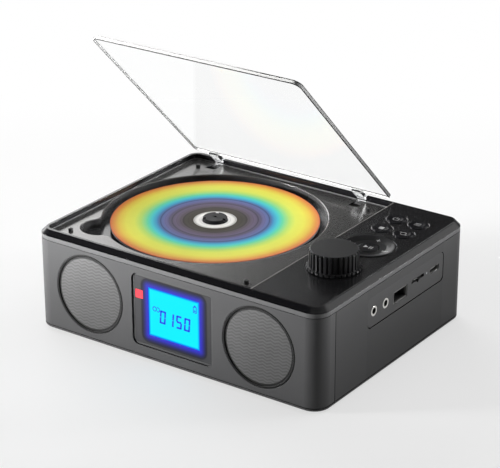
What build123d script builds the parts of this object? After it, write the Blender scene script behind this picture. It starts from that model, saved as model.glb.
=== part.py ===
# Boombox CD player with a hinged clear lid, built as the real one comes apart on a bench.
# Millimetres. X runs along the front, Y towards the back, Z up from the floor.
# The origin is on the floor, under the middle of the case.

from math import atan, cos, pi, radians, sin, sqrt, tan
import os

from build123d import *

# Fits shared by every piece
fit_gap = 0.1
running_fit = 0.05
press_gap = 0.02
past = 1.0

# Disc
disc_radius = 60.0
disc_hole_radius = 7.5
disc_thickness = 1.2
disc_edge_chamfer = 0.2
disc_below_deck = 2.1
stack_ring_radius = 17.2
stack_ring_width = 0.8
stack_ring_height = 0.15

# Turntable and its motor
hub_clearance = 0.45
hub_above_disc = 2.0
hub_chamfer = 0.4
hub_finger_count = 3
hub_finger_angle = 115.0
hub_finger_width = 1.8
hub_finger_depth = 1.6
hub_nub_radius = 1.2
hub_nub_inset = 0.9
hub_nub_rise = 0.2
platter_radius = 13.0
platter_thickness = 1.6
shaft_radius = 1.0
shaft_below_hub_top = 0.9
spindle_motor_radius = 12.0
spindle_motor_height = 7.4
spindle_motor_chamfer = 0.8
spindle_bush_radius = 3.0
spindle_bush_height = 0.8
motor_base_thickness = 1.0

# Case
corner_radius = 9.6
wall = 2.5
bottom_thickness = 2.0
bottom_rounding = 1.0
frame_height = 5.5
bevel = 2.8
seam_groove = 0.4
seam_gap = 0.3
front_panel_wrap = 14.8
rim_front = 1.6
rim_left = 1.6
rim_back = 2.2
panel_land = 0.6
skirt_depth = 1.5
skirt_gap = 0.15
ledge_width = 3.0

# Feet, screws and the case's inner ribs
foot_height = 1.0
foot_recess = 0.5
foot_radius = 5.0
foot_inset = 17.0
screw_radius = 1.3
screw_head_radius = 2.8
screw_head_depth = 1.0
screw_head_sunk = 0.2
screw_slot_length = 3.6
screw_slot_width = 0.7
screw_slot_depth = 0.5
screw_length = 12.0
screw_post_radius = 3.9
screw_post_inset = 3.2
screw_post_from_front = 23.0
screw_post_from_back = 9.0
wall_bite = 1.5
rib_thickness = 1.2
rib_depth = 1.2
rib_below_floor = 3.0
side_rib_count = 4
side_rib_pitch = 25.0
side_rib_middle_y = 7.5
back_rib_count = 4
back_rib_pitch = 40.0

# Deck and disc well
recess_depth = 3.4
deck_thickness = 1.5
disc_gap = 4.7
well_depth = 5.6
well_wall = 1.4
well_floor = 1.6
well_front_margin = 8.3
well_back_margin = 2.9
well_right_margin = 12.0
well_rim_chamfer = 0.4
tub_clearance = 0.2
scoop_radius = 11.6
scoop_reach = 65.8
scoop_angle = -131.7
scoop_blend = 6.0
recess_corner_left = 5.0
recess_corner_right = 2.0
platter_gap = 1.5
lens_slot_gap = 1.2
lens_slot_corner = 4.0

# Control panel
panel_width = 43.1
panel_thickness = 2.0
panel_inner_corner = 0.5
panel_edge_chamfer = 0.3
panel_hole_chamfer = 0.3
knob_radius = 13.6
knob_skirt_radius = 15.1
knob_skirt_height = 1.3
knob_skirt_chamfer = 0.4
knob_float = 0.4
knob_height = 11.4
knob_top_thickness = 3.0
knob_flutes = 30
knob_flute_radius = 0.8
knob_flute_depth = 0.9
knob_chamfer = 0.8
knob_forward = 24.2
encoder_size = 12.0
encoder_corner = 0.8
encoder_height = 6.5
encoder_floor = 2.0
encoder_bush_wall = 0.7
encoder_hole_gap = 0.8
encoder_shaft_radius = 3.0
encoder_flat_depth = 1.5
encoder_flat_length = 7.0
ring_radius = 15.0
ring_back = 10.2
ring_proud = 0.4
ring_edge = 0.3
ring_rim_width = 1.0
ring_inner_drop = 0.9
ring_dish_drop = 0.7
ring_dish_width = 3.5
ring_gap_to_play = 0.35
ring_below_panel = 0.5
ring_skirt_inset = 1.8
ring_lip = 1.2
ring_lip_drop = 0.7
ring_lip_thickness = 0.8
pad_inset = 2.4
pad_gap = 0.6
pad_thickness = 1.6
pad_hole_gap = 1.6
pad_dome_radius = 1.5
pad_dome_gap = 0.7
play_radius = 6.1
play_below_top = 0.5
play_edge = 0.5
play_lip = 0.9
play_lip_drop = 1.1
play_lip_thickness = 0.8
button_radius = 6.05
button_pitch_x = 14.2
button_pitch_y = 15.5
button_row_back = 35.4
button_proud = 0.5
button_edge = 0.5
button_dish_radius = 30.0
button_dish_depth = 0.3
button_lip = 0.6
button_lip_drop = 0.2
button_lip_thickness = 0.8
button_travel = 0.5
button_gap = 0.35
button_stem_radius = 1.5
button_rest_gap = 0.1
stem_overlap = 0.1

# Lid and its hinges
lid_thickness = 2.5
lid_edge_chamfer = 0.3
lid_gap = 0.4
lid_front_corner = 5.0
lid_back_corner = 2.5
lid_back_gap = 4.0
lid_open_angle = 45.3
bumper_radius = 1.35
bumper_stem_radius = 0.675
bumper_height = 1.5
bumper_edge = 0.35
bumper_inset = 9.6
bumper_back_inset = 6.6
arm_width = 6.0
arm_thickness = 2.2
arm_pad = 5.0
arm_side_gap = 0.3
arm_slot_front_gap = 0.5
hinge_inset_left = 17.4
hinge_inset_right = 20.5
knuckle_radius = 2.0
knuckle_gap = 0.3
pivot_from_back = 2.3
pivot_below_top = 3.1
hinge_pin_radius = 0.8
hinge_pin_grip = 2.0

# Front: speakers
speaker_radius = 23.5
speaker_margin_top = 1.9
speaker_margin_bottom = 3.1
speaker_ring_width = 1.4
speaker_ring_chamfer = 0.3
speaker_ledge = 2.0
grille_depth = 1.6
grille_thickness = 1.0
grille_dome = 0.5
basket_overlap = 0.2
basket_flange = 1.2
basket_depth = 10.0
basket_land = 3.0
basket_rim_slope = 1.6
basket_skin = 1.4
basket_back_thickness = 1.2
basket_bore = 6.0
basket_window_count = 4
basket_window_reach = 15.5
basket_window_width = 11.0
basket_window_length = 9.0
basket_window_height = 6.7
basket_window_lift = 6.8
cone_skin = 0.5
cone_depth = 7.0
cone_roll_width = 1.5
cone_roll_rise = 0.6
cone_roll_low = 0.1
cone_coil_radius = 5.5
cone_cap_radius = 4.0
cone_cap_inner = 3.9
cone_cap_top = 3.2
cone_coil_length = 3.0
magnet_radius = 13.0
magnet_height = 9.0
magnet_plate_inset = 1.0
magnet_plate_thickness = 2.0

# Front: display
display_gap = 6.4
display_lift = 0.3
bezel_width = 54.6
bezel_height = 43.0
bezel_corner = 4.0
bezel_thickness = 1.0
bezel_recess = 0.8
bezel_ledge = 2.0
bezel_chamfer = 0.3
window_corner = 0.4
lcd_width = 34.6
lcd_height = 28.9
lcd_inset_left = 10.85
lcd_lift = 0.4
lcd_corner = 0.3
lcd_glass_recess = 0.1
lcd_glass_overlap = 0.5
lcd_frame_side = 4.0
lcd_frame_end = 3.4
lcd_frame_corner = 0.8
lcd_frame_gap = 0.2
lcd_body_depth = 3.4
ir_size = 5.0
ir_inset = 2.1
ir_below_bezel_top = 9.9
ir_room = 0.4
display_post_radius = 2.0
display_post_gap = 2.2
display_post_spread = 30.0
display_post_bite = 0.5
display_board_margin = 2.4
display_board_inset = 3.0
tongue_length = 4.0
tongue_root = 5.0
tongue_bite = 0.4
tongue_inside = 1.4
tongue_above_base = 8.0
tongue_below_skirt = 4.0

# Right side: ports
port_panel_front = 29.0
port_panel_back = 49.4
port_panel_height = 17.0
port_panel_drop = 11.4
port_panel_thickness = 1.5
port_panel_corner = 3.0
port_groove = 0.8
port_ledge = 2.6
port_window_corner = 1.0
port_window_gap = 0.2
port_window_depth = 3.5
socket_top_below_frame = 11.0
socket_depth = 14.0
socket_setback = 0.3
jack_ring_radius = 2.9
jack_bore_radius = 1.8
jack_bore_end = 2.0
jack_nose_root = 1.0
jack_body_gap = 0.2
jack_body_width = 9.2
jack_body_height = 7.0
jack_1_y = -22.9
jack_2_y = -11.1
usb_y = 4.0
usb_width = 14.0
usb_height = 7.1
usb_corner = 0.6
usb_skin = 0.6
usb_end_wall = 1.0
usb_tongue_inset = 1.4
usb_tongue_rise = 1.0
usb_tongue_thickness = 1.8
usb_tongue_setback = 5.0
card_y = 22.2
card_width = 13.0
card_height = 1.8
card_corner = 0.5
card_side_wall = 1.0
card_roof = 0.5
card_floor = 0.6
card_panel_gap = 0.1
card_notch_radius = 1.2
card_notch_drop = 0.2
status_light_y = 31.9
status_light_radius = 0.6
status_light_drop = 1.3
status_light_length = 6.0
status_light_setback = 0.1
light_base_width = 2.4
light_base_length = 2.0
light_base_drop = 1.1
charge_y = 40.1
charge_width = 9.9
charge_height = 3.4
charge_length = 9.0
charge_end_wall = 1.0
charge_side_gap = 0.2
charge_skin = 0.4
charge_tongue_inset = 1.6
charge_tongue_thickness = 0.7
charge_tongue_setback = 1.5
port_board_overhang = 2.0
port_board_front_gap = 2.0
port_board_back_gap = 1.0
port_shelf_depth = 4.0
port_shelf_thickness = 1.5
port_shelf_front_gap = 4.0
port_shelf_back_gap = 2.0

# Pickup sled and its rails
sled_length = 26.0
sled_width = 36.0
sled_height = 6.0
sled_above_rail = 0.4
sled_corner = 2.0
sled_start_radius = 23.0
sled_travel = 34.0
sled_motor_gap = 1.0
sled_slot_inset = 4.0
sled_slot_width = 4.0
sled_slot_back = 9.0
lens_holder_radius = 3.6
lens_holder_below_floor = 0.6
lens_radius = 1.9
lens_centre_below_floor = 1.6
rail_radius = 1.5
rail_spacing = 30.0
rail_above_chassis = 4.6
rail_block_gap = 2.4
rail_block_length = 3.2
rail_block_width = 4.8
rail_block_above_rail = 2.6
rail_block_bite = 1.3
rail_bore_past = 2.0

# Feed gears and motor
gear_module = 0.6
pressure_angle = 20.0
gear_dedendum = 1.2
flank_points = 3
gear_backlash = 0.09
rack_backlash = 0.08
rack_dedendum = 1.25
pinion_teeth = 12
wheel_teeth = 30
motor_teeth = 10
gear_face = 1.2
gear_above_chassis = 0.4
gear_step = 0.5
gear_post_radius = 1.0
gear_shoulder_radius = 2.4
gear_shoulder_gap = 0.1
gear_post_past = 0.8
gear_ahead = 16.0
rack_gap = 2.0
rack_spare_teeth = 4
rack_bracket_length = 12.0
rack_bracket_height = 2.0
rack_bracket_bite = 1.0
motor_gear_angle = -150.0
feed_motor_radius = 6.0
feed_motor_height = 11.0
feed_motor_nose_radius = 1.9
feed_motor_nose_height = 1.2
feed_motor_nose_gap = 0.1
feed_shaft_radius = 0.8
feed_shaft_length = 6.0
feed_shaft_past = 0.3

# Chassis and its rubber mounts
chassis_thickness = 1.8
chassis_below_floor = 8.5
chassis_left = 31.0
chassis_right_gap = 4.0
chassis_depth = 79.0
chassis_corner = 6.0
chassis_window_back = 11.0
chassis_window_front = 9.0
chassis_window_left = 4.0
chassis_window_right = 6.0
chassis_window_corner = 3.0
post_radius = 1.6
post_collar = 1.4
post_below_chassis = 2.0
damper_radius = 3.8
damper_neck = 2.6
damper_lip = 1.1
damper_left = 24.0
damper_right = 51.0
damper_spread = 66.0

# Boards, switches and battery
board_thickness = 1.6
board_below_panel = 10.0
board_post_radius = 2.0
board_post_left = 5.5
board_post_right = 9.5
board_post_end = 8.0
button_board_left = 1.5
button_board_right = 6.6
button_board_end = 5.0
button_board_corner = 2.0
switch_height = 3.0
switch_cap_height = 0.6
switch_size = 5.0
small_switch_size = 3.0
nav_switch_inset = 4.6
main_board_height = 5.6
main_board_x = 3.0
main_board_y = 15.0
main_board_width = 80.0
main_board_depth = 84.0
main_board_corner = 2.0
main_boss_radius = 2.6
main_boss_inset = 5.0
chip_size = 12.0
chip_height = 1.4
chip_1_x = -14.0
chip_1_y = 10.0
chip_2_x = 14.0
chip_2_y = -4.0
capacitor_count = 3
capacitor_radius = 4.0
capacitor_height = 9.0
capacitor_pitch = 11.0
capacitor_x = 30.0
capacitor_y = 14.0
plug_width = 8.0
plug_depth = 10.0
plug_height = 5.0
plug_x = -28.0
plug_y = 39.0
battery_width = 36.0
battery_length = 66.0
battery_height = 16.0
battery_corner = 2.0
battery_from_wall = 4.5
battery_front_y = -20.0
battery_lip = 1.5
battery_lip_height = 4.0

# Heights, worked up from the floor
base_z = foot_height
bottom_seam_z = base_z + bottom_thickness
speaker_z = bottom_seam_z + speaker_margin_bottom + speaker_radius
seam_z = speaker_z + speaker_radius + speaker_margin_top
top_z = seam_z + frame_height
deck_z = top_z - recess_depth
deck_under_z = deck_z - deck_thickness
floor_z = deck_z - well_depth
floor_under_z = floor_z - well_floor
disc_top_z = deck_z - disc_below_deck
disc_under_z = disc_top_z - disc_thickness
hub_top_z = disc_top_z + hub_above_disc
panel_under_z = top_z - panel_thickness
skirt_z = seam_z - skirt_depth
board_z = panel_under_z - board_below_panel
switch_top_z = board_z + switch_height

# Plan of the case, grown outwards from the disc
well_radius = disc_radius + disc_gap
body_depth = 2 * bevel + rim_front + well_front_margin + 2 * well_radius + well_back_margin + rim_back
body_width = (wall + tub_clearance + well_wall + 2 * well_radius + well_right_margin
              + panel_width + panel_land + bevel)
left_x = -body_width / 2
right_x = body_width / 2
front_y = -body_depth / 2
back_y = body_depth / 2
recess_left = left_x + bevel + rim_left
recess_front = front_y + bevel + rim_front
recess_back = back_y - bevel - rim_back
spindle_x = left_x + wall + tub_clearance + well_wall + well_radius
spindle_y = recess_front + well_front_margin + well_radius
divider_x = spindle_x + well_radius + well_right_margin
panel_right = right_x - bevel - panel_land
panel_front = front_y + bevel + panel_land
panel_back = back_y - bevel - panel_land
panel_x = (divider_x + panel_right) / 2
knob_y = -knob_forward
nav_switch_reach = ring_radius - nav_switch_inset

# Lid, drawn closed and then swung open
lid_left = recess_left + lid_gap
lid_right = divider_x - lid_gap
lid_front = recess_front + lid_gap
lid_back = recess_back - lid_back_gap
lid_under_z = deck_z + bumper_height
pivot_y = back_y - pivot_from_back
pivot_z = top_z - pivot_below_top
arm_xs = (lid_left + hinge_inset_left, lid_right - hinge_inset_right)
arm_slot = arm_width + 2 * arm_side_gap
arm_under_z = lid_under_z - arm_thickness
arm_front_y = lid_back - arm_pad

# Speakers and display
speaker_x = bezel_width / 2 + display_gap + speaker_radius
speaker_seat_y = front_y + wall
display_z = speaker_z + display_lift
bezel_front = front_y + bezel_recess
bezel_back = bezel_front + bezel_thickness
lcd_x = lcd_inset_left + (lcd_width - bezel_width) / 2
lcd_z = display_z + lcd_lift
ir_x = ir_inset + (ir_size - bezel_width) / 2
ir_z = display_z + bezel_height / 2 - ir_below_bezel_top - ir_size / 2
display_board_y = bezel_back + lcd_frame_gap + lcd_body_depth

# Ports
socket_top = seam_z - socket_top_below_frame
port_low_z = socket_top - port_panel_drop
port_high_z = port_low_z + port_panel_height
jack_z = socket_top - jack_ring_radius
light_z = socket_top - status_light_drop

# Feed drive, in line with the spindle
chassis_top = floor_under_z - chassis_below_floor
chassis_low = chassis_top - chassis_thickness
rail_z = chassis_top + rail_above_chassis
sled_low_z = rail_z + sled_above_rail - sled_height / 2
sled_high_z = sled_low_z + sled_height
wheel_radius = gear_module * wheel_teeth / 2
pinion_radius = gear_module * pinion_teeth / 2
motor_gear_radius = gear_module * motor_teeth / 2
sled_x = spindle_x + sled_start_radius
sled_front_y = spindle_y - sled_width / 2
rack_y = sled_front_y - rack_gap
gear_x = sled_x + gear_ahead
gear_y = rack_y - pinion_radius
motor_gear_x = gear_x + (wheel_radius + motor_gear_radius) * cos(radians(motor_gear_angle))
motor_gear_y = gear_y + (wheel_radius + motor_gear_radius) * sin(radians(motor_gear_angle))
wheel_z = chassis_top + gear_above_chassis
pinion_z = wheel_z + gear_face + gear_step
rail_start = sled_x - sled_length / 2 - rail_block_gap
rail_end = sled_x + sled_travel + sled_length / 2 + rail_block_gap
battery_left = left_x + wall + battery_from_wall


def around(middle, size):
    """The two ends of a span, from its middle and its length."""
    return (middle - size / 2, middle + size / 2)


def block(x, y, z):
    """A box between pairs of faces, each given as (low, high)."""
    size = [high - low for low, high in (x, y, z)]
    centre = [(high + low) / 2 for low, high in (x, y, z)]
    return Pos(*centre) * Box(*size)


def upright(x, y, z, radius):
    """A vertical cylinder between two heights."""
    low, high = z
    return Pos(x, y, (low + high) / 2) * Cylinder(radius, high - low)


def lying(x, y, z, radius):
    """A level cylinder: whichever of x and y is a pair gives its two ends."""
    if isinstance(x, tuple):
        low, high = x
        return Pos((low + high) / 2, y, z) * Rot(0, 90, 0) * Cylinder(radius, high - low)
    low, high = y
    return Pos(x, (low + high) / 2, z) * Rot(90, 0, 0) * Cylinder(radius, high - low)


def rounded(x, y, z, radius):
    """A plate with rounded upright corners."""
    sketch = RectangleRounded(x[1] - x[0], y[1] - y[0], radius)
    return extrude(Pos((x[0] + x[1]) / 2, (y[0] + y[1]) / 2, z[0]) * sketch, z[1] - z[0])


def two_radius_plate(x, y, z, low_radius, high_radius, along=Axis.X):
    """A plate whose corners at the low end of an axis and at its high end have their own radii."""
    sketch = Rectangle(x[1] - x[0], y[1] - y[0])
    sketch = fillet(sketch.vertices().group_by(along)[0], low_radius)
    sketch = fillet(sketch.vertices().group_by(along)[-1], high_radius)
    return extrude(Pos((x[0] + x[1]) / 2, (y[0] + y[1]) / 2, z[0]) * sketch, z[1] - z[0])


def case_slab(inset, z):
    """The case outline, drawn in by inset, between two heights."""
    sketch = RectangleRounded(body_width - 2 * inset, body_depth - 2 * inset, corner_radius - inset)
    return extrude(Pos(0, 0, z[0]) * sketch, z[1] - z[0])


def front_slab(x, z, y, radius):
    """A plate standing on the front face: x and z give its outline, y its two faces."""
    sketch = RectangleRounded(x[1] - x[0], z[1] - z[0], radius)
    plane = Plane(origin=((x[0] + x[1]) / 2, y[1], (z[0] + z[1]) / 2), x_dir=(1, 0, 0), z_dir=(0, -1, 0))
    return extrude(plane * sketch, y[1] - y[0])


def side_slab(y, z, x, radius):
    """A plate standing on the right side: y and z give its outline, x its two faces."""
    sketch = RectangleRounded(y[1] - y[0], z[1] - z[0], radius)
    plane = Plane(origin=(x[0], (y[0] + y[1]) / 2, (z[0] + z[1]) / 2), x_dir=(0, 1, 0), z_dir=(1, 0, 0))
    return extrude(plane * sketch, x[1] - x[0])


def turned(points):
    """A piece revolved about the vertical: points are (radius, height) pairs."""
    return revolve(Plane.XZ * make_face(Polyline(*points, close=True)), Axis.Z)


def top_edges(piece):
    """The edges of a piece's highest face."""
    return piece.faces().sort_by(Axis.Z)[-1].edges()


def well_outline():
    """The disc well with the finger scoop, and a web that blends the two rims."""
    near = well_radius + scoop_blend
    far = scoop_radius + scoop_blend
    along = (near * near - far * far + scoop_reach * scoop_reach) / (2 * scoop_reach)
    across = sqrt(near * near - along * along)
    web = make_face(Polyline((0, 0), (along, -across), (scoop_reach, 0), (along, across), close=True))
    web -= Pos(along, across) * Circle(scoop_blend)
    web -= Pos(along, -across) * Circle(scoop_blend)
    outline = Circle(well_radius) + Pos(scoop_reach, 0) * Circle(scoop_radius) + web
    return Rot(0, 0, scoop_angle) * outline


def well_prism(growth, z):
    """The well outline, grown outwards, between two heights."""
    sketch = well_outline()
    if growth > 0:
        sketch = offset(sketch, growth)
    return extrude(Pos(spindle_x, spindle_y, z[0]) * sketch, z[1] - z[0])


def corners(x, y):
    """The four corners of a rectangle."""
    return [(one_x, one_y) for one_x in x for one_y in y]


def foot_places():
    """Centres of the four feet."""
    return corners(around(0, body_width - 2 * foot_inset), around(0, body_depth - 2 * foot_inset))


def screw_post_places():
    """Where the four case screws run, just inside the side walls."""
    xs = around(0, body_width - 2 * (wall + screw_post_inset))
    return corners(xs, (front_y + screw_post_from_front, back_y - screw_post_from_back))


def damper_places():
    """The four rubber mounts of the disc mechanism."""
    return corners((spindle_x - damper_left, spindle_x + damper_right), around(spindle_y, damper_spread))


def board_post_places():
    """The four posts that carry the button board under the control panel."""
    xs = (divider_x + board_post_left, panel_right - board_post_right)
    return corners(xs, (panel_front + board_post_end, panel_back - board_post_end))


def main_boss_places():
    """The four bosses under the main board."""
    xs = around(main_board_x, main_board_width - 2 * main_boss_inset)
    return corners(xs, around(main_board_y, main_board_depth - 2 * main_boss_inset))


def button_places():
    """Centres of the four round buttons, front row first."""
    xs = around(panel_x, button_pitch_x)
    return [(x, y) for y in (button_row_back, button_row_back + button_pitch_y) for x in xs]


def bumper_places():
    """The four lid bumpers on the deck."""
    return corners((lid_left + bumper_inset, lid_right - bumper_inset),
                   (lid_front + bumper_inset, lid_back - bumper_back_inset))


def nav_switch_places():
    """The four switches under the ring: right, back, left and front."""
    turns = [radians(90 * turn) for turn in range(4)]
    return [(panel_x + nav_switch_reach * cos(turn), ring_back + nav_switch_reach * sin(turn)) for turn in turns]


def display_post_places():
    """The four bosses behind the front panel that carry the display board, as (x, z)."""
    xs = around(0, bezel_width - 2 * bezel_ledge + 2 * display_post_gap)
    return corners(xs, around(display_z, display_post_spread))


def battery_spans(growth):
    """The battery's place on the bottom plate, grown all round."""
    x = (battery_left - growth, battery_left + battery_width + growth)
    y = (battery_front_y - growth, battery_front_y + battery_length + growth)
    return x, y


def bottom_plate():
    slab = case_slab(0, (base_z, bottom_seam_z))
    slab = fillet(slab.faces().sort_by(Axis.Z)[0].edges(), bottom_rounding)
    groove_z = (bottom_seam_z - seam_groove, bottom_seam_z)
    slab -= case_slab(0, groove_z) - case_slab(seam_groove, groove_z)
    for x, y in foot_places():
        slab -= upright(x, y, (base_z, base_z + foot_recess), foot_radius + fit_gap)
    for x, y in screw_post_places():
        slab -= upright(x, y, (base_z, bottom_seam_z), screw_radius + fit_gap)
        slab -= upright(x, y, (base_z, base_z + screw_head_depth), screw_head_radius + fit_gap)
    for x, y in main_boss_places():
        slab += upright(x, y, (bottom_seam_z, bottom_seam_z + main_board_height), main_boss_radius)
    lip_z = (bottom_seam_z, bottom_seam_z + battery_lip_height)
    lip = rounded(*battery_spans(battery_lip), lip_z, battery_corner + battery_lip)
    return slab + (lip - rounded(*battery_spans(0), lip_z, battery_corner))


def rubber_feet():
    return [upright(x, y, (0, base_z + foot_recess), foot_radius) for x, y in foot_places()]


def case_screw(x, y):
    """A slotted screw, its head sunk in the bottom plate."""
    head_low = base_z + screw_head_sunk
    head_top = base_z + screw_head_depth
    screw = upright(x, y, (head_low, head_top), screw_head_radius)
    screw += upright(x, y, (head_top, head_top + screw_length), screw_radius)
    return screw - block(around(x, screw_slot_length), around(y, screw_slot_width),
                         (head_low, head_low + screw_slot_depth))


def case_screws():
    return [case_screw(x, y) for x, y in screw_post_places()]


def side_walls(z):
    """The ring of side walls between two heights."""
    return case_slab(0, z) - case_slab(wall, z)


def wall_ribs():
    """Stiffening ribs inside the left and back walls."""
    z = (bottom_seam_z, floor_under_z - rib_below_floor)
    ribs = []
    for index in range(side_rib_count):
        y = side_rib_middle_y + (index - (side_rib_count - 1) / 2) * side_rib_pitch
        ribs.append(block((left_x + wall - wall_bite, left_x + wall + rib_depth), around(y, rib_thickness), z))
    for index in range(back_rib_count):
        x = (index - (back_rib_count - 1) / 2) * back_rib_pitch
        ribs.append(block(around(x, rib_thickness), (back_y - wall - rib_depth, back_y - wall + wall_bite), z))
    return ribs


def main_housing():
    z = (bottom_seam_z, seam_z)
    shell = side_walls(z) - block((left_x, right_x), (front_y, front_y + front_panel_wrap), z)
    for x, y in screw_post_places():
        post = upright(x, y, (bottom_seam_z, skirt_z - fit_gap), screw_post_radius)
        shell += post & case_slab(wall - wall_bite, z)
        shell -= upright(x, y, (bottom_seam_z, bottom_seam_z + screw_length), screw_radius + fit_gap)
    shell += wall_ribs()
    shelf_z = socket_top + board_thickness
    shell += block((right_x - wall - port_shelf_depth, right_x - wall + wall_bite),
                   (port_shelf_front_gap - port_panel_front, port_panel_back - port_shelf_back_gap),
                   (shelf_z, shelf_z + port_shelf_thickness))
    return shell - port_pocket() - port_window()


def port_pocket():
    """The pocket for the port panel: a shadow gap shows along its bottom and back edges only."""
    y = (-port_panel_front, port_panel_back + port_groove)
    z = (port_low_z - port_groove, port_high_z)
    return side_slab(y, z, (right_x - port_panel_thickness, right_x + past), port_panel_corner)


def port_window():
    """The way through the wall behind the port panel."""
    y = (port_ledge - port_panel_front, port_panel_back - port_ledge)
    z = (port_low_z + port_ledge, socket_top + port_window_gap)
    return side_slab(y, z, (right_x - port_window_depth, right_x), port_window_corner)


def through_port_panel():
    """The two ends of a cut through the port panel."""
    return (right_x - port_panel_thickness - past, right_x + past)


def socket_cut(y, height, width, radius):
    """A rounded slot through the port panel, hanging from the common socket top."""
    z = (socket_top - height - fit_gap, socket_top + fit_gap)
    return side_slab(around(y, width + 2 * fit_gap), z, through_port_panel(), radius)


def port_panel():
    panel = side_slab((-port_panel_front, port_panel_back), (port_low_z, port_high_z),
                      (right_x - port_panel_thickness, right_x), port_panel_corner)
    for y in (jack_1_y, jack_2_y):
        panel -= lying(through_port_panel(), y, jack_z, jack_ring_radius + fit_gap)
    panel -= socket_cut(usb_y, usb_height, usb_width, usb_corner)
    panel -= socket_cut(card_y, card_height, card_width, card_corner)
    panel -= lying(through_port_panel(), card_y, socket_top - card_height - card_notch_drop, card_notch_radius)
    panel -= lying(through_port_panel(), status_light_y, light_z, status_light_radius + running_fit)
    return panel - socket_cut(charge_y, charge_height, charge_width, charge_height / 2)


def jack(y):
    """A 3.5 mm jack: a metal nose ring in front of a moulded body under the port board."""
    back = right_x - wall - socket_depth
    body = block((back, right_x - wall - jack_body_gap), around(y, jack_body_width),
                 (socket_top - jack_body_height, socket_top))
    nose = lying((right_x - wall - jack_nose_root, right_x), y, jack_z, jack_ring_radius)
    return body + nose - lying((back + jack_bore_end, right_x + past), y, jack_z, jack_bore_radius)


def usb_socket():
    """A folded metal shell round a contact tongue."""
    low_z = socket_top - usb_height
    back = right_x - socket_depth
    shell = side_slab(around(usb_y, usb_width), (low_z, socket_top), (back, right_x - socket_setback), usb_corner)
    shell -= block((back + usb_end_wall, right_x), around(usb_y, usb_width - 2 * usb_skin),
                   (low_z + usb_skin, socket_top - usb_skin))
    tongue_z = low_z + usb_tongue_rise
    return shell + block((back, right_x - usb_tongue_setback), around(usb_y, usb_width - 2 * usb_tongue_inset),
                         (tongue_z, tongue_z + usb_tongue_thickness))


def card_socket():
    """A card slot, open towards the port panel."""
    low_z = socket_top - card_height - card_floor
    body = block((right_x - wall - socket_depth, right_x - port_panel_thickness - card_panel_gap),
                 around(card_y, card_width + 2 * card_side_wall), (low_z, socket_top))
    return body - block((right_x - socket_depth, right_x), around(card_y, card_width),
                        (low_z + card_floor, socket_top - card_roof))


def charge_socket():
    """A round-ended charging socket with its tongue."""
    middle = socket_top - charge_height / 2
    back = right_x - charge_length
    width = charge_width - 2 * charge_side_gap
    inner_height = charge_height - 2 * charge_skin
    shell = side_slab(around(charge_y, width), around(middle, charge_height), (back, right_x - socket_setback),
                      charge_height / 2 - running_fit)
    shell -= side_slab(around(charge_y, width - 2 * charge_skin), around(middle, inner_height),
                       (back + charge_end_wall, right_x), inner_height / 2 - fit_gap)
    return shell + block((back, right_x - charge_tongue_setback), around(charge_y, width - 2 * charge_tongue_inset),
                         around(middle, charge_tongue_thickness))


def status_light():
    """A small lamp on the port board with its light pipe."""
    pipe_end = right_x - status_light_length
    pipe = lying((pipe_end, right_x - status_light_setback), status_light_y, light_z, status_light_radius)
    return pipe + block((pipe_end - light_base_length, pipe_end), around(status_light_y, light_base_width),
                        (light_z - light_base_drop, socket_top))


def port_board():
    return block((right_x - wall - socket_depth - port_board_overhang, right_x - wall - fit_gap),
                 (port_board_front_gap - port_panel_front, port_panel_back - port_board_back_gap),
                 (socket_top, socket_top + board_thickness))


def panel_tongue(side):
    """The tab on one side of the front panel that slides inside the housing's wall."""
    split_y = front_y + front_panel_wrap - seam_gap
    inner = right_x - wall
    z = (bottom_seam_z + tongue_above_base, skirt_z - tongue_below_skirt)
    tab = block((inner - tongue_inside, inner + tongue_bite), (split_y - tongue_root, split_y + tongue_length), z)
    tab -= block((inner - fit_gap, right_x), (split_y, split_y + tongue_length), z)
    return tab if side > 0 else mirror(tab, Plane.YZ)


def front_panel():
    z = (bottom_seam_z, seam_z)
    shell = side_walls(z) & block((left_x, right_x), (front_y, front_y + front_panel_wrap - seam_gap), z)
    for side in (-1, 1):
        shell += panel_tongue(side)
        x = side * speaker_x
        shell -= lying(x, (front_y - past, front_y + grille_depth), speaker_z, speaker_radius)
        shell -= lying(x, (front_y, front_y + wall), speaker_z, speaker_radius - speaker_ledge)
    shell -= front_slab(bezel_spans(0)[0], bezel_spans(0)[1], (front_y - past, bezel_back), bezel_corner)
    shell -= front_slab(bezel_spans(bezel_ledge)[0], bezel_spans(bezel_ledge)[1],
                        (front_y, front_y + wall + past), bezel_corner - bezel_ledge / 2)
    for x, z_post in display_post_places():
        shell += lying(x, (speaker_seat_y - display_post_bite, display_board_y), z_post, display_post_radius)
    return shell


def bezel_spans(inset):
    """The bezel's outline, drawn in by inset, as x and z spans."""
    return around(0, bezel_width - 2 * inset), around(display_z, bezel_height - 2 * inset)


def display_bezel():
    """The display's surround, with a window for the screen and one for the remote's receiver."""
    inset = fit_gap / 2
    plate = front_slab(*bezel_spans(inset), (bezel_front, bezel_back), bezel_corner - inset)
    plate = chamfer(plate.faces().sort_by(Axis.Y)[0].edges(), bezel_chamfer)
    cut = (front_y, bezel_back + past)
    plate -= front_slab(around(lcd_x, lcd_width + 2 * fit_gap), around(lcd_z, lcd_height + 2 * fit_gap),
                        cut, window_corner)
    return plate - front_slab(around(ir_x, ir_size + 2 * fit_gap), around(ir_z, ir_size + 2 * fit_gap),
                              cut, window_corner)


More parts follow.
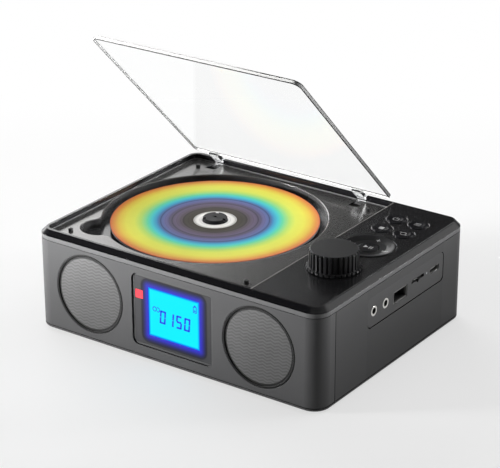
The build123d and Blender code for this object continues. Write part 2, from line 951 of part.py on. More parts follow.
def lcd_module():
    """The screen's glass in front of its backlight frame, which leaves room for the receiver."""
    glass = front_slab(around(lcd_x, lcd_width), around(lcd_z, lcd_height),
                       (bezel_front + lcd_glass_recess, bezel_back + lcd_glass_overlap), lcd_corner)
    frame = front_slab(around(lcd_x, lcd_width + 2 * lcd_frame_side), around(lcd_z, lcd_height + 2 * lcd_frame_end),
                       (bezel_back + lcd_frame_gap, display_board_y), lcd_frame_corner)
    return glass + frame - block(around(ir_x, ir_size + 2 * ir_room), (front_y, display_board_y),
                                 around(ir_z, ir_size + 2 * ir_room))


def ir_window():
    return front_slab(around(ir_x, ir_size), around(ir_z, ir_size), (bezel_front, display_board_y), lcd_corner)


def display_board():
    return block(around(0, bezel_width + 2 * display_board_margin),
                 (display_board_y, display_board_y + board_thickness), bezel_spans(display_board_inset)[1])


def facing_front(piece, side, start):
    """Turns an upright piece, drawn with its front down, to face out of one speaker opening."""
    return Pos(side * speaker_x, start, speaker_z) * Rot(-90, 0, 0) * piece


def grille_ring(side):
    outer = speaker_radius - fit_gap / 2
    ring = Cylinder(outer, grille_depth) - Cylinder(outer - speaker_ring_width, grille_depth)
    ring = chamfer(ring.faces().sort_by(Axis.Z)[0].edges(), speaker_ring_chamfer)
    return facing_front(Pos(0, 0, grille_depth / 2) * ring, side, front_y)


def grille(side):
    """A pressed metal screen, slightly domed, held inside its ring."""
    radius = speaker_radius - speaker_ring_width - fit_gap
    low = grille_depth - grille_thickness
    crown = (radius * radius + grille_dome * grille_dome) / (2 * grille_dome)
    screen = Pos(0, 0, (low + grille_depth) / 2) * Cylinder(radius, grille_thickness)
    cap = Pos(0, 0, low - grille_dome + crown) * Sphere(crown)
    cap &= Pos(0, 0, low - grille_dome / 2) * Cylinder(radius, grille_dome)
    return facing_front(screen + cap, side, front_y)


def speaker_basket(side):
    """The driver's pressed frame: a flange, a sloping wall with windows and a flat back."""
    rim = speaker_radius + basket_overlap
    inner = speaker_radius - speaker_ledge - basket_land
    depth = basket_flange + basket_depth
    back = depth + basket_back_thickness
    neck = magnet_radius - magnet_plate_inset
    basket = turned(((inner, 0), (rim, 0), (rim, basket_flange), (inner + basket_rim_slope, basket_flange),
                     (neck, depth), (neck, back), (basket_bore, back), (basket_bore, depth),
                     (neck - basket_skin, depth), (inner, basket_flange)))
    window = Pos(basket_window_reach, 0, basket_window_lift) * Box(basket_window_length, basket_window_width,
                                                                 basket_window_height)
    step = 360 / basket_window_count
    for index in range(basket_window_count):
        basket -= Rot(0, 0, (index + 0.5) * step) * window
    return facing_front(basket, side, speaker_seat_y)


def speaker_cone(side):
    """Paper cone with its rolled surround and dust cap."""
    rim = speaker_radius - speaker_ledge - basket_land - fit_gap
    mid = rim - cone_roll_width
    cone_rim = mid - cone_roll_width
    edge = cone_roll_rise + fit_gap
    points = ((0, cone_cap_top), (cone_cap_radius, cone_cap_inner), (cone_coil_radius, cone_depth - 2 * cone_skin),
              (cone_rim, edge), (mid, cone_roll_low), (rim, cone_roll_rise), (rim, cone_roll_rise + cone_skin),
              (mid, cone_roll_low + cone_skin), (cone_rim, edge + cone_skin), (cone_coil_radius, cone_depth),
              (cone_coil_radius, cone_depth + cone_coil_length), (0, cone_depth + cone_coil_length))
    return facing_front(turned(points), side, speaker_seat_y)


def speaker_magnet(side):
    """A ring magnet between its two steel plates."""
    start = basket_flange + basket_depth + basket_back_thickness
    plate_radius = magnet_radius - magnet_plate_inset
    low = start + magnet_plate_thickness
    high = start + magnet_height - magnet_plate_thickness
    stack = upright(0, 0, (start, start + magnet_height), plate_radius) + upright(0, 0, (low, high), magnet_radius)
    return facing_front(stack, side, speaker_seat_y)


def speaker_magnets():
    return [speaker_magnet(side) for side in (-1, 1)]


def recess_pocket(inset, z):
    """The lid recess between two heights, drawn in by inset."""
    return two_radius_plate((recess_left + inset, divider_x - inset), (recess_front + inset, recess_back - inset),
                            z, max(recess_corner_left - inset, recess_corner_right),
                            max(recess_corner_right - inset, recess_corner_right / 2))


def panel_pocket(inset, z):
    """The seat of the control panel between two heights, drawn in by inset."""
    outer_corner = corner_radius - bevel - panel_land
    return two_radius_plate((divider_x + inset, panel_right - inset), (panel_front + inset, panel_back - inset),
                            z, panel_inner_corner + fit_gap, outer_corner - inset)


def arm_notch(x):
    """The gap in the back rim where a hinge arm swings."""
    return block(around(x, arm_slot), (recess_back - past, back_y + past),
                 (pivot_z - knuckle_radius - knuckle_gap, top_z + past))


def top_frame():
    ring = chamfer(top_edges(case_slab(0, (seam_z, top_z))), bevel)
    groove_z = (seam_z, seam_z + seam_groove)
    ring -= case_slab(0, groove_z) - case_slab(seam_groove, groove_z)
    ring += case_slab(wall + skirt_gap, (skirt_z, seam_z))
    ring -= recess_pocket(0, (deck_under_z, top_z + past))
    ring -= recess_pocket(ledge_width, (skirt_z - past, deck_under_z))
    ring -= panel_pocket(0, (panel_under_z, top_z + past))
    ring -= panel_pocket(ledge_width, (skirt_z - past, panel_under_z))
    ring -= well_prism(well_wall + tub_clearance / 2, (skirt_z - past, deck_z + fit_gap))
    for x in arm_xs:
        ring -= arm_notch(x)
        ring -= lying(around(x, arm_slot + 2 * hinge_pin_grip), pivot_y, pivot_z, hinge_pin_radius + press_gap)
    return ring


def deck_tray():
    plate = two_radius_plate((recess_left + fit_gap, divider_x - fit_gap),
                             (recess_front + fit_gap, recess_back - fit_gap), (deck_under_z, deck_z),
                             recess_corner_left - fit_gap, recess_corner_right - fit_gap)
    tray = plate + well_prism(well_wall, (floor_under_z, deck_z)) - well_prism(0, (floor_z, deck_z + past))
    rim = [edge for edge in top_edges(tray).filter_by(GeomType.CIRCLE) if abs(edge.radius - well_radius) < fit_gap]
    tray = chamfer(rim, well_rim_chamfer)
    through_floor = (floor_under_z - past, floor_z + past)
    through_deck = (deck_under_z - past, deck_z + past)
    tray -= upright(spindle_x, spindle_y, through_floor, platter_radius + platter_gap)
    slot_half = lens_holder_radius + lens_slot_gap
    tray -= rounded((spindle_x, sled_x + sled_travel + slot_half), around(spindle_y, 2 * slot_half),
                    through_floor, lens_slot_corner)
    for x in arm_xs:
        tray -= block(around(x, arm_slot), (arm_front_y - arm_slot_front_gap, recess_back), through_deck)
    for x, y in bumper_places():
        tray -= upright(x, y, through_deck, bumper_stem_radius + running_fit)
    for x, y in damper_places():
        tray += upright(x, y, (chassis_top + damper_lip, floor_under_z), post_radius + post_collar)
        tray += upright(x, y, (chassis_low - post_below_chassis, floor_under_z), post_radius)
    return tray


def control_panel():
    plate = two_radius_plate((divider_x + fit_gap, panel_right - fit_gap),
                             (panel_front + fit_gap, panel_back - fit_gap), (panel_under_z, top_z),
                             panel_inner_corner, corner_radius - bevel - panel_land - fit_gap)
    left_edge = plate.faces().sort_by(Axis.X)[0].edges().filter_by(Axis.Y).sort_by(Axis.Z)[-1]
    plate = chamfer(left_edge, panel_edge_chamfer)
    through = (panel_under_z - past, top_z + past)
    plate -= upright(panel_x, knob_y, through, encoder_shaft_radius + encoder_hole_gap)
    plate -= upright(panel_x, ring_back, through, ring_radius + button_gap)
    for x, y in button_places():
        plate -= upright(x, y, through, button_radius + button_gap)
    smallest = button_radius + button_gap / 2
    rims = [edge for edge in top_edges(plate).filter_by(GeomType.CIRCLE) if edge.is_closed and edge.radius > smallest]
    plate = chamfer(rims, panel_hole_chamfer)
    for x, y in board_post_places():
        plate += upright(x, y, (board_z, panel_under_z), board_post_radius)
    return plate


def d_shaft(radius, z, flat_z):
    """An upright shaft over the knob's axis, with a flat along the second span."""
    shaft = upright(panel_x, knob_y, z, radius)
    flat = encoder_shaft_radius - encoder_flat_depth + (radius - encoder_shaft_radius)
    return shaft - block((panel_x + flat, panel_x + 2 * radius), around(knob_y, 2 * radius), flat_z)


def volume_knob():
    """A fluted cap over a knurled skirt, bored to fit the encoder's flatted shaft."""
    low = top_z + knob_float
    high = top_z + knob_height
    skirt_top = low + knob_skirt_height
    cap = chamfer(top_edges(upright(panel_x, knob_y, (low, high), knob_radius)), knob_chamfer)
    skirt = chamfer(top_edges(upright(panel_x, knob_y, (low, skirt_top), knob_skirt_radius)), knob_skirt_chamfer)
    cap_flute = Pos(knob_radius + knob_flute_radius - knob_flute_depth, 0, skirt_top) * extrude(
        RegularPolygon(knob_flute_radius, 6), knob_height)
    skirt_flute = Pos(knob_skirt_radius + knob_flute_radius - knob_flute_depth, 0, low - past) * extrude(
        RegularPolygon(knob_flute_radius, 6), knob_skirt_height + 2 * past)
    cap -= [Pos(panel_x, knob_y, 0) * Rot(0, 0, turn * 360 / knob_flutes) * cap_flute for turn in range(knob_flutes)]
    skirt -= [Pos(panel_x, knob_y, 0) * Rot(0, 0, (turn + 0.5) * 360 / knob_flutes) * skirt_flute
              for turn in range(knob_flutes)]
    shaft_top = high - knob_top_thickness
    bore = d_shaft(encoder_shaft_radius + press_gap, (low - past, shaft_top + fit_gap),
                   (shaft_top - encoder_flat_length, shaft_top + fit_gap))
    return cap + skirt - bore


def encoder_body():
    can_top = board_z + encoder_height
    can = rounded(around(panel_x, encoder_size), around(knob_y, encoder_size), (board_z, can_top), encoder_corner)
    bush = upright(panel_x, knob_y, (can_top, top_z), encoder_shaft_radius + encoder_bush_wall)
    return can + bush - upright(panel_x, knob_y, (board_z + encoder_floor, top_z + past),
                                encoder_shaft_radius + running_fit)


def encoder_shaft():
    top = top_z + knob_height - knob_top_thickness
    return d_shaft(encoder_shaft_radius, (board_z + encoder_floor + fit_gap, top), (top - encoder_flat_length, top))


def nav_ring():
    """The four-way ring, dished towards the play button, with a lip under the panel."""
    low = panel_under_z - ring_below_panel
    inner = play_radius + ring_gap_to_play
    rim_top = top_z + ring_proud
    skirt = ring_radius - ring_skirt_inset
    lip_top = low - ring_lip_drop
    lip_low = lip_top - ring_lip_thickness
    points = ((inner, low), (skirt, low), (skirt, lip_low), (ring_radius + ring_lip, lip_low),
              (ring_radius + ring_lip, lip_top), (ring_radius, lip_top), (ring_radius, rim_top - ring_edge),
              (ring_radius - ring_edge, rim_top), (ring_radius - ring_rim_width, rim_top - fit_gap),
              (inner + ring_dish_width, top_z - ring_dish_drop), (inner, top_z - ring_inner_drop))
    return Pos(panel_x, ring_back, 0) * turned(points)


def nav_rubber():
    """The silicone pad under the ring, with a dome over each of its four switches."""
    top = panel_under_z - ring_below_panel - pad_gap
    low = top - pad_thickness
    pad = upright(panel_x, ring_back, (low, top), ring_radius - pad_inset)
    pad -= upright(panel_x, ring_back, (low - past, top + past), play_radius + pad_hole_gap)
    for x, y in nav_switch_places():
        pad += upright(x, y, (switch_top_z + pad_dome_gap, (low + top) / 2), pad_dome_radius)
    return pad


def stem(x, y, rest_gap, top):
    """The post under a button that reaches down to its switch."""
    return upright(x, y, (switch_top_z + button_travel + rest_gap, top + stem_overlap), button_stem_radius)


def play_button():
    lip_top = panel_under_z - play_lip_drop
    lip_low = lip_top - play_lip_thickness
    cap = upright(panel_x, ring_back, (lip_low, top_z - play_below_top), play_radius)
    cap = fillet(top_edges(cap), play_edge)
    cap += upright(panel_x, ring_back, (lip_low, lip_top), play_radius + play_lip)
    return cap + stem(panel_x, ring_back, 2 * button_rest_gap, lip_low)


def round_button(index):
    """A round button with a shallow dish, kept in by a lip under the panel."""
    x, y = button_places()[index]
    lip_top = panel_under_z - button_lip_drop
    lip_low = lip_top - button_lip_thickness
    cap_top = top_z + button_proud
    cap = chamfer(top_edges(upright(x, y, (lip_low, cap_top), button_radius)), button_edge)
    cap -= Pos(x, y, cap_top - button_dish_depth + button_dish_radius) * Sphere(button_dish_radius)
    cap += upright(x, y, (lip_low, lip_top), button_radius + button_lip)
    return cap + stem(x, y, button_rest_gap, lip_low)


def tact_switch(x, y, size):
    """A switch on the button board: a square can with a round plunger."""
    body = block(around(x, size), around(y, size), (board_z, switch_top_z - switch_cap_height))
    return body + upright(x, y, (board_z + switch_cap_height, switch_top_z), size / 4)


def tact_switches():
    large = [tact_switch(x, y, switch_size) for x, y in button_places() + [(panel_x, ring_back)]]
    return large + [tact_switch(x, y, small_switch_size) for x, y in nav_switch_places()]


def button_board():
    board = block((divider_x + button_board_left, panel_right - button_board_right),
                  (panel_front + button_board_end, panel_back - button_board_end),
                  (board_z - board_thickness, board_z))
    return chamfer(board.edges().filter_by(Axis.Z), button_board_corner)


def compact_disc():
    """The disc, with the fine ring round its hub on which discs rest when stacked."""
    disc = upright(spindle_x, spindle_y, (disc_under_z, disc_top_z), disc_radius)
    disc = chamfer(top_edges(disc), disc_edge_chamfer)
    disc -= upright(spindle_x, spindle_y, (disc_under_z - past, disc_top_z + past), disc_hole_radius)
    ring_z = (disc_under_z - stack_ring_height, disc_under_z + stack_ring_height)
    ring = upright(spindle_x, spindle_y, ring_z, stack_ring_radius)
    return disc + (ring - upright(spindle_x, spindle_y, ring_z, stack_ring_radius - stack_ring_width))


def spindle_hub():
    """Turntable with a centring boss and three sprung nubs, each in its own slot, that grip the disc."""
    boss_radius = disc_hole_radius - hub_clearance
    hub = upright(spindle_x, spindle_y, (disc_under_z - platter_thickness, disc_under_z), platter_radius)
    hub += chamfer(top_edges(upright(spindle_x, spindle_y, (disc_under_z, hub_top_z), boss_radius)), hub_chamfer)
    slot = block((boss_radius - hub_finger_depth, boss_radius + past), around(0, hub_finger_width),
                 (disc_top_z + hub_nub_rise, hub_top_z + past))
    nub = Pos(boss_radius - hub_nub_inset, 0, disc_top_z + hub_nub_rise) * Sphere(hub_nub_radius)
    for index in range(hub_finger_count):
        place = Pos(spindle_x, spindle_y, 0) * Rot(0, 0, hub_finger_angle + index * 360 / hub_finger_count)
        hub = hub - place * slot + place * nub
    return hub - upright(spindle_x, spindle_y, (disc_under_z - platter_thickness - past, hub_top_z + past),
                         shaft_radius + press_gap)


def spindle_motor():
    can_top = chassis_top + spindle_motor_height
    can = upright(spindle_x, spindle_y, (chassis_top, can_top), spindle_motor_radius)
    can = chamfer(top_edges(can), spindle_motor_chamfer)
    can += upright(spindle_x, spindle_y, (can_top, can_top + spindle_bush_height), spindle_bush_radius)
    return can - upright(spindle_x, spindle_y, (chassis_top + motor_base_thickness, can_top + 2 * past),
                         shaft_radius + running_fit)


def spindle_shaft():
    return upright(spindle_x, spindle_y, (chassis_top + motor_base_thickness + fit_gap,
                                          hub_top_z - shaft_below_hub_top), shaft_radius)


def mechanism_chassis():
    """The plate that carries the motors, the rails and the gear's post, on four soft mounts."""
    plate = rounded((spindle_x - chassis_left, rail_end + chassis_right_gap), around(spindle_y, chassis_depth),
                    (chassis_low, chassis_top), chassis_corner)
    through = (chassis_low - past, chassis_top + past)
    plate -= rounded((sled_x - chassis_window_left, sled_x + sled_travel + chassis_window_right),
                     (spindle_y - chassis_window_front, spindle_y + chassis_window_back), through,
                     chassis_window_corner)
    for y in around(spindle_y, rail_spacing):
        for x in (rail_start, rail_end):
            plate += block(around(x, rail_block_length), around(y, rail_block_width),
                           (chassis_top - rail_block_bite, rail_z + rail_block_above_rail))
        plate -= lying((rail_start - rail_bore_past, rail_end + rail_bore_past), y, rail_z, rail_radius + press_gap)
    plate += upright(gear_x, gear_y, (chassis_low, wheel_z - gear_shoulder_gap), gear_shoulder_radius)
    plate += upright(gear_x, gear_y, (chassis_low, pinion_z + gear_face + gear_post_past), gear_post_radius)
    plate -= upright(motor_gear_x, motor_gear_y, through, feed_motor_nose_radius + feed_motor_nose_gap)
    for x, y in damper_places():
        plate -= upright(x, y, through, damper_neck + running_fit)
    return plate


def damper_mounts():
    """Soft rubber rings, each waisted where the chassis sits."""
    bore = post_radius + running_fit
    low = chassis_low - running_fit
    high = chassis_top + running_fit
    ring = turned(((bore, chassis_low - damper_lip), (damper_radius, chassis_low - damper_lip),
                   (damper_radius, low), (damper_neck, low), (damper_neck, high), (damper_radius, high),
                   (damper_radius, chassis_top + damper_lip), (bore, chassis_top + damper_lip)))
    return [Pos(x, y, 0) * ring for x, y in damper_places()]


def guide_rods():
    ends = (rail_start - rail_block_length / 2, rail_end + rail_block_length / 2)
    return [lying(ends, y, rail_z, rail_radius) for y in around(spindle_y, rail_spacing)]


def pickup_sled():
    """The carriage that runs on the two rods, with its rack along the front."""
    x = around(sled_x, sled_length)
    through = (sled_low_z - past, sled_high_z + past)
    sled = rounded(x, around(spindle_y, sled_width), (sled_low_z, sled_high_z), sled_corner)
    sled -= block((x[0] + sled_slot_inset, x[1] - sled_slot_inset), around(spindle_y + sled_slot_back, sled_slot_width),
                  through)
    sled -= upright(spindle_x, spindle_y, through, spindle_motor_radius + sled_motor_gap)
    for y in around(spindle_y, rail_spacing):
        sled -= lying((x[0] - past, x[1] + past), y, rail_z, rail_radius + running_fit)
    return sled + feed_rack()


def rack_tooth(x, back, half_root, half_tip):
    """One straight-sided rack tooth."""
    tip = rack_y - gear_module
    return make_face(Polyline((x - half_root, back), (x - half_tip, tip), (x + half_tip, tip), (x + half_root, back),
                              close=True))


def feed_rack():
    """The toothed strip on the front of the sled: straight-sided teeth that suit the pinion."""
    pitch = pi * gear_module
    back = rack_y + rack_dedendum * gear_module
    length = sled_travel + rack_spare_teeth * pitch
    start = gear_x - sled_travel - rack_spare_teeth * pitch / 2
    low = pinion_z
    high = pinion_z + gear_face
    strip = block((start, start + length), (back, sled_front_y), (low, high))
    strip += block(around(sled_x, rack_bracket_length), (back, sled_front_y + rack_bracket_bite),
                   (low, high + rack_bracket_height))
    lean = tan(radians(pressure_angle))
    half_tip = pitch / 4 - gear_module * lean - rack_backlash
    half_root = pitch / 4 + rack_dedendum * gear_module * lean - rack_backlash
    count = int(length / pitch)
    for index in range(count + 1):
        x = gear_x + pitch * (index - count // 2 - 2)
        if start + half_root < x < start + length - half_root:
            strip += extrude(Pos(0, 0, low) * rack_tooth(x, back, half_root, half_tip), high - low)
    return strip


def pickup_lens():
    """The lens in its round holder, just under the slot in the well's floor."""
    holder = upright(sled_x, spindle_y, (sled_high_z, floor_z - lens_holder_below_floor), lens_holder_radius)
    dome = Pos(sled_x, spindle_y, floor_z - lens_centre_below_floor) * Sphere(lens_radius)
    return holder + (dome & upright(sled_x, spindle_y, (sled_high_z, floor_z + past), lens_radius))


def gear_outline(teeth, bore):
    """Spur gear with involute flanks, thinned for backlash."""
    radius = gear_module * teeth / 2
    tip = radius + gear_module
    root = radius - gear_dedendum * gear_module
    base = radius * cos(radians(pressure_angle))
    start = max(base, root + running_fit)
    half_tooth = pi / (2 * teeth) - gear_backlash / radius
    pitch_spread = tan(radians(pressure_angle)) - radians(pressure_angle)
    flank = []
    for step in range(flank_points):
        r = start + (tip - start) * step / (flank_points - 1)
        roll = sqrt(max(r * r - base * base, 0)) / base
        flank.append((r, half_tooth + pitch_spread - roll + atan(roll)))
    foot = (root, flank[0][1] + running_fit / root)
    points = []
    for tooth in range(teeth):
        middle = 2 * pi * tooth / teeth
        points += [(r * cos(middle - angle), r * sin(middle - angle)) for r, angle in [foot] + flank]
        points += [(r * cos(middle + angle), r * sin(middle + angle)) for r, angle in flank[::-1] + [foot]]
    return make_face(Polyline(*points, close=True)) - Circle(bore)


def feed_gear():
    """A wheel and a pinion in one moulding; the wheel's gap faces the motor's gear."""
    bore = gear_post_radius + running_fit
    wheel = Rot(0, 0, motor_gear_angle + 180 / wheel_teeth) * gear_outline(wheel_teeth, bore)
    pinion = Rot(0, 0, 90 + 180 / pinion_teeth) * gear_outline(pinion_teeth, bore)
    neck = Circle(pinion_radius - gear_dedendum * gear_module) - Circle(bore)
    gear = extrude(Pos(gear_x, gear_y, wheel_z) * wheel, gear_face)
    gear += extrude(Pos(gear_x, gear_y, wheel_z + gear_face) * neck, gear_step)
    return gear + extrude(Pos(gear_x, gear_y, pinion_z) * pinion, gear_face)


def feed_pinion():
    """The motor's gear on its shaft, with a tooth in the gap of the wheel."""
    face = Rot(0, 0, motor_gear_angle + 180) * gear_outline(motor_teeth, feed_shaft_radius / 2)
    gear = extrude(Pos(motor_gear_x, motor_gear_y, wheel_z) * face, gear_face)
    return gear + upright(motor_gear_x, motor_gear_y,
                          (chassis_low - feed_shaft_length, wheel_z + gear_face + feed_shaft_past), feed_shaft_radius)


def feed_motor():
    can = upright(motor_gear_x, motor_gear_y, (chassis_low - feed_motor_height, chassis_low), feed_motor_radius)
    can += upright(motor_gear_x, motor_gear_y, (chassis_low, chassis_low + feed_motor_nose_height),
                   feed_motor_nose_radius)
    return can - upright(motor_gear_x, motor_gear_y, (chassis_low - feed_shaft_length - fit_gap, chassis_top),
                         feed_shaft_radius + running_fit)


def main_board():
    """The main board with two chips, a row of capacitors and the loom's socket."""
    low = bottom_seam_z + main_board_height
    top = low + board_thickness
    board = rounded(around(main_board_x, main_board_width), around(main_board_y, main_board_depth), (low, top),
                    main_board_corner)
    for x, y in ((chip_1_x, chip_1_y), (chip_2_x, chip_2_y)):
        board += block(around(x, chip_size), around(y, chip_size), (top, top + chip_height))
    for index in range(capacitor_count):
        board += upright(capacitor_x, capacitor_y + capacitor_pitch * index, (top, top + capacitor_height),
                         capacitor_radius)
    return board + block(around(plug_x, plug_width), around(plug_y, plug_depth), (top, top + plug_height))


def battery_pack():
    return rounded(*battery_spans(-fit_gap), (bottom_seam_z, bottom_seam_z + battery_height), battery_corner)


def closed_to_open(piece):
    """Swings a piece, drawn with the lid closed, to the open lid's place."""
    return piece.rotate(Axis((0, pivot_y, pivot_z), (-1, 0, 0)), lid_open_angle)


def lid():
    """The clear plate, with every long edge broken."""
    panel = two_radius_plate((lid_left, lid_right), (lid_front, lid_back),
                             (lid_under_z, lid_under_z + lid_thickness), lid_front_corner, lid_back_corner, Axis.Y)
    faces = panel.faces().sort_by(Axis.Z)
    return closed_to_open(chamfer(faces[0].edges() + faces[-1].edges(), lid_edge_chamfer))


def hinge_arm(x):
    """Clear arm: a pad glued under the lid, a strap through the rim and a knuckle on the pin."""
    arm = block(around(x, arm_width), (arm_front_y, pivot_y), (arm_under_z, lid_under_z))
    arm += lying(around(x, arm_width), pivot_y, pivot_z, knuckle_radius)
    return closed_to_open(arm - lying(around(x, arm_width + 2 * past), pivot_y, pivot_z,
                                      hinge_pin_radius + running_fit))


def hinge_pins():
    length = arm_slot + 2 * (hinge_pin_grip - fit_gap)
    return [lying(around(x, length), pivot_y, pivot_z, hinge_pin_radius) for x in arm_xs]


def lid_bumper(x, y):
    """A soft stud pressed into the deck, on which the closed lid rests."""
    head = upright(x, y, (deck_z, deck_z + bumper_height), bumper_radius)
    return chamfer(top_edges(head), bumper_edge) + upright(x, y, (deck_under_z, deck_z), bumper_stem_radius)


def lid_bumpers():
    return [lid_bumper(x, y) for x, y in bumper_places()]


def as_node(piece):
    """One shape to write: a group of separate solids becomes a compound."""
    if isinstance(piece, list):
        return Compound(children=[item.solid() for item in piece])
    return piece


def all_nodes():
    """Every node, by the name that it is written under."""
    nodes = {
        "bottom_plate": bottom_plate(),
        "rubber_feet": rubber_feet(),
        "case_screws": case_screws(),
        "main_housing": main_housing(),
        "front_panel": front_panel(),
        "top_frame": top_frame(),
        "deck_tray": deck_tray(),
        "control_panel": control_panel(),
        "port_panel": port_panel(),
        "display_bezel": display_bezel(),
        "lcd_module": lcd_module(),
        "ir_window": ir_window(),
        "display_board": display_board(),
        "volume_knob": volume_knob(),
        "encoder_body": encoder_body(),
        "encoder_shaft": encoder_shaft(),
        "nav_ring": nav_ring(),
        "nav_rubber": nav_rubber(),
        "play_button": play_button(),
        "tact_switches": tact_switches(),
        "button_board": button_board(),
        "compact_disc": compact_disc(),
        "spindle_hub": spindle_hub(),
        "spindle_motor": spindle_motor(),
        "spindle_shaft": spindle_shaft(),
        "mechanism_chassis": mechanism_chassis(),
        "damper_mounts": damper_mounts(),
        "guide_rods": guide_rods(),
        "pickup_sled": pickup_sled(),
        "pickup_lens": pickup_lens(),
        "feed_gear": feed_gear(),
        "feed_pinion": feed_pinion(),
        "feed_motor": feed_motor(),
        "main_board": main_board(),
        "battery_pack": battery_pack(),
        "port_board": port_board(),
        "headphone_jack": jack(jack_1_y),
        "aux_jack": jack(jack_2_y),
        "usb_socket": usb_socket(),
        "card_socket": card_socket(),
        "charge_socket": charge_socket(),
        "status_light": status_light(),
        "lid": lid(),
        "hinge_arm_left": hinge_arm(arm_xs[0]),
        "hinge_arm_right": hinge_arm(arm_xs[1]),
        "hinge_pins": hinge_pins(),
        "lid_bumpers": lid_bumpers(),
        "speaker_magnets": speaker_magnets(),
    }
    for index, name in enumerate(("stop_button", "repeat_button", "power_button", "mode_button")):
        nodes[name] = round_button(index)
    for name, side in (("left", -1), ("right", 1)):
        nodes["grille_" + name] = grille(side)
        nodes["grille_ring_" + name] = grille_ring(side)
        nodes["speaker_" + name] = speaker_basket(side)
        nodes["speaker_cone_" + name] = speaker_cone(side)
    return nodes


os.makedirs("parts", exist_ok=True)
for node_name, node in all_nodes().items():
    export_step(as_node(node), "parts/" + node_name + ".step")
print("body", round(body_width, 2), "x", round(body_depth, 2), "x", round(top_z, 2))
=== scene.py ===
"""Looks, lights and camera for the portable disc player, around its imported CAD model. Metres."""

from math import cos, hypot, pi, radians, sin, sqrt

import bpy
from mathutils import Matrix, Vector


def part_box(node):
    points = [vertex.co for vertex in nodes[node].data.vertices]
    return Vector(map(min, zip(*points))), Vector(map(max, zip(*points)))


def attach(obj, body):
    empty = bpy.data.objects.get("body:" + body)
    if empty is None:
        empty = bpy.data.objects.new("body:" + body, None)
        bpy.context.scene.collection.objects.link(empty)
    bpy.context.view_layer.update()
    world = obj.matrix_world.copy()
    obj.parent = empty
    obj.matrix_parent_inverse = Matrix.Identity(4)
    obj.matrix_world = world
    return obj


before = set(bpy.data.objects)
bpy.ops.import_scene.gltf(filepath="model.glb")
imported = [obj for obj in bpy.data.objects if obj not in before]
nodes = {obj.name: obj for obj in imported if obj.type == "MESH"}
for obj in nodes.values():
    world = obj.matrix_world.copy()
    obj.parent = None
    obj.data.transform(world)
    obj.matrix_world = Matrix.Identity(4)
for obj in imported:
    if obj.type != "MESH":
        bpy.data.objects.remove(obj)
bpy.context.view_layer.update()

MM = 0.001

# Camera, solved from the photograph
CAMERA_PLACE = Vector((0.59963, -0.84699, 0.50379))
CAMERA_YAW = 0.616890
CAMERA_PITCH = 0.409178
CAMERA_ROLL = -0.002933
CAMERA_LENS = 144.434
CAMERA_SENSOR = 36.0

# Where things are, read from the CAD model
disc_low, disc_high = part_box("compact_disc")
disc_x = (disc_low.x + disc_high.x) / 2
disc_y = (disc_low.y + disc_high.y) / 2
disc_radius = (disc_high.x - disc_low.x) / 2
lcd_low, lcd_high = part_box("lcd_module")
bezel_low, bezel_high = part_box("display_bezel")
pin_low, pin_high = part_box("hinge_pins")
pin_y = (pin_low.y + pin_high.y) / 2
pin_z = (pin_low.z + pin_high.z) / 2
port_low, port_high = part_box("port_panel")
panel_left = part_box("control_panel")[0].x
ring_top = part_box("nav_ring")[1].z

# The lit screen, inside the bezel's opening
SCREEN_WIDTH = 34.6 * MM
SCREEN_HEIGHT = 28.9 * MM
screen_x = (lcd_low.x + lcd_high.x) / 2
screen_z = (lcd_low.z + lcd_high.z) / 2
screen_y = lcd_low.y
screen_left = screen_x - SCREEN_WIDTH / 2
screen_bottom = screen_z - SCREEN_HEIGHT / 2

# Heights between which one finish gives way to the next
RIM_GLOSS = (57.55 * MM, 57.75 * MM)
DECK_SATIN = (56.6 * MM, 56.95 * MM)
DISC_PRINT = (54.6 * MM, 54.9 * MM)

# The seam gaps between the case's parts, each with half its width: two level ones and an upright one, and the
# share of the case's colour that the painted shade in them leaves
LOW_SEAM_Z = (2.8 * MM, 0.22 * MM)
HIGH_SEAM_Z = (55.2 * MM, 0.20 * MM)
FRONT_SEAM_Y = (-60.35 * MM, 0.24 * MM)
SEAM_LEFT = 0.12

# How far out, in x, the metal of the sockets starts
JACK_MOUTH_X = 95.7 * MM
SOCKET_MOUTH_X = 94.3 * MM

# The disc's rings of colour, each at a radius in millimetres, from its middle out: white, browns, plum,
# blues, greens, yellow, orange and red
DISC_RINGS = (
    (7.5, (0.72, 0.71, 0.69)), (12.0, (0.64, 0.63, 0.60)), (12.5, (0.035, 0.03, 0.02)),
    (17.5, (0.04, 0.035, 0.03)), (19.5, (0.065, 0.05, 0.065)), (22.5, (0.085, 0.065, 0.11)),
    (25.5, (0.06, 0.05, 0.085)), (28.5, (0.09, 0.09, 0.215)), (32.0, (0.04, 0.09, 0.22)),
    (33.5, (0.025, 0.20, 0.37)), (36.0, (0.03, 0.37, 0.43)), (38.5, (0.075, 0.46, 0.255)),
    (42.5, (0.33, 0.52, 0.10)), (46.0, (0.54, 0.58, 0.07)), (51.0, (0.61, 0.575, 0.065)),
    (54.5, (0.625, 0.45, 0.055)), (57.5, (0.60, 0.255, 0.045)), (60.0, (0.56, 0.13, 0.055)),
)
HAIRLINES_WITHIN = (33.0 * MM, 31.8 * MM)
FINE_HAIRLINE_STEP = 2.2 * MM
BOLD_HAIRLINE_STEP = 6.5 * MM
BOLD_HAIRLINE_START = 5.2 * MM
DISC_GROOVE_STEP = 0.8 * MM

# The speaker mesh's pressed zigzag rows, its holes, and where the painted shadow of its ring starts and is
# full
MESH_ROW_STEP = 1.9 * MM
MESH_ZIGZAG_STEP = 5.0 * MM
MESH_ZIGZAG_SLOPE = 0.40
MESH_HOLE_PITCH = 0.75 * MM
MESH_RING_SHADOW = (20.8 * MM, 21.1 * MM)

# The screen's blue light painted on its surround as a glow, the black print round the screen, and the
# surround's grey border
GLOW_REACH = 6.6 * MM
GLOW_FALL = 2.8
WINDOW_PRINT = (5.6 * MM, 4.4 * MM)
WINDOW_BORDER = (1.5 * MM, 1.3 * MM)
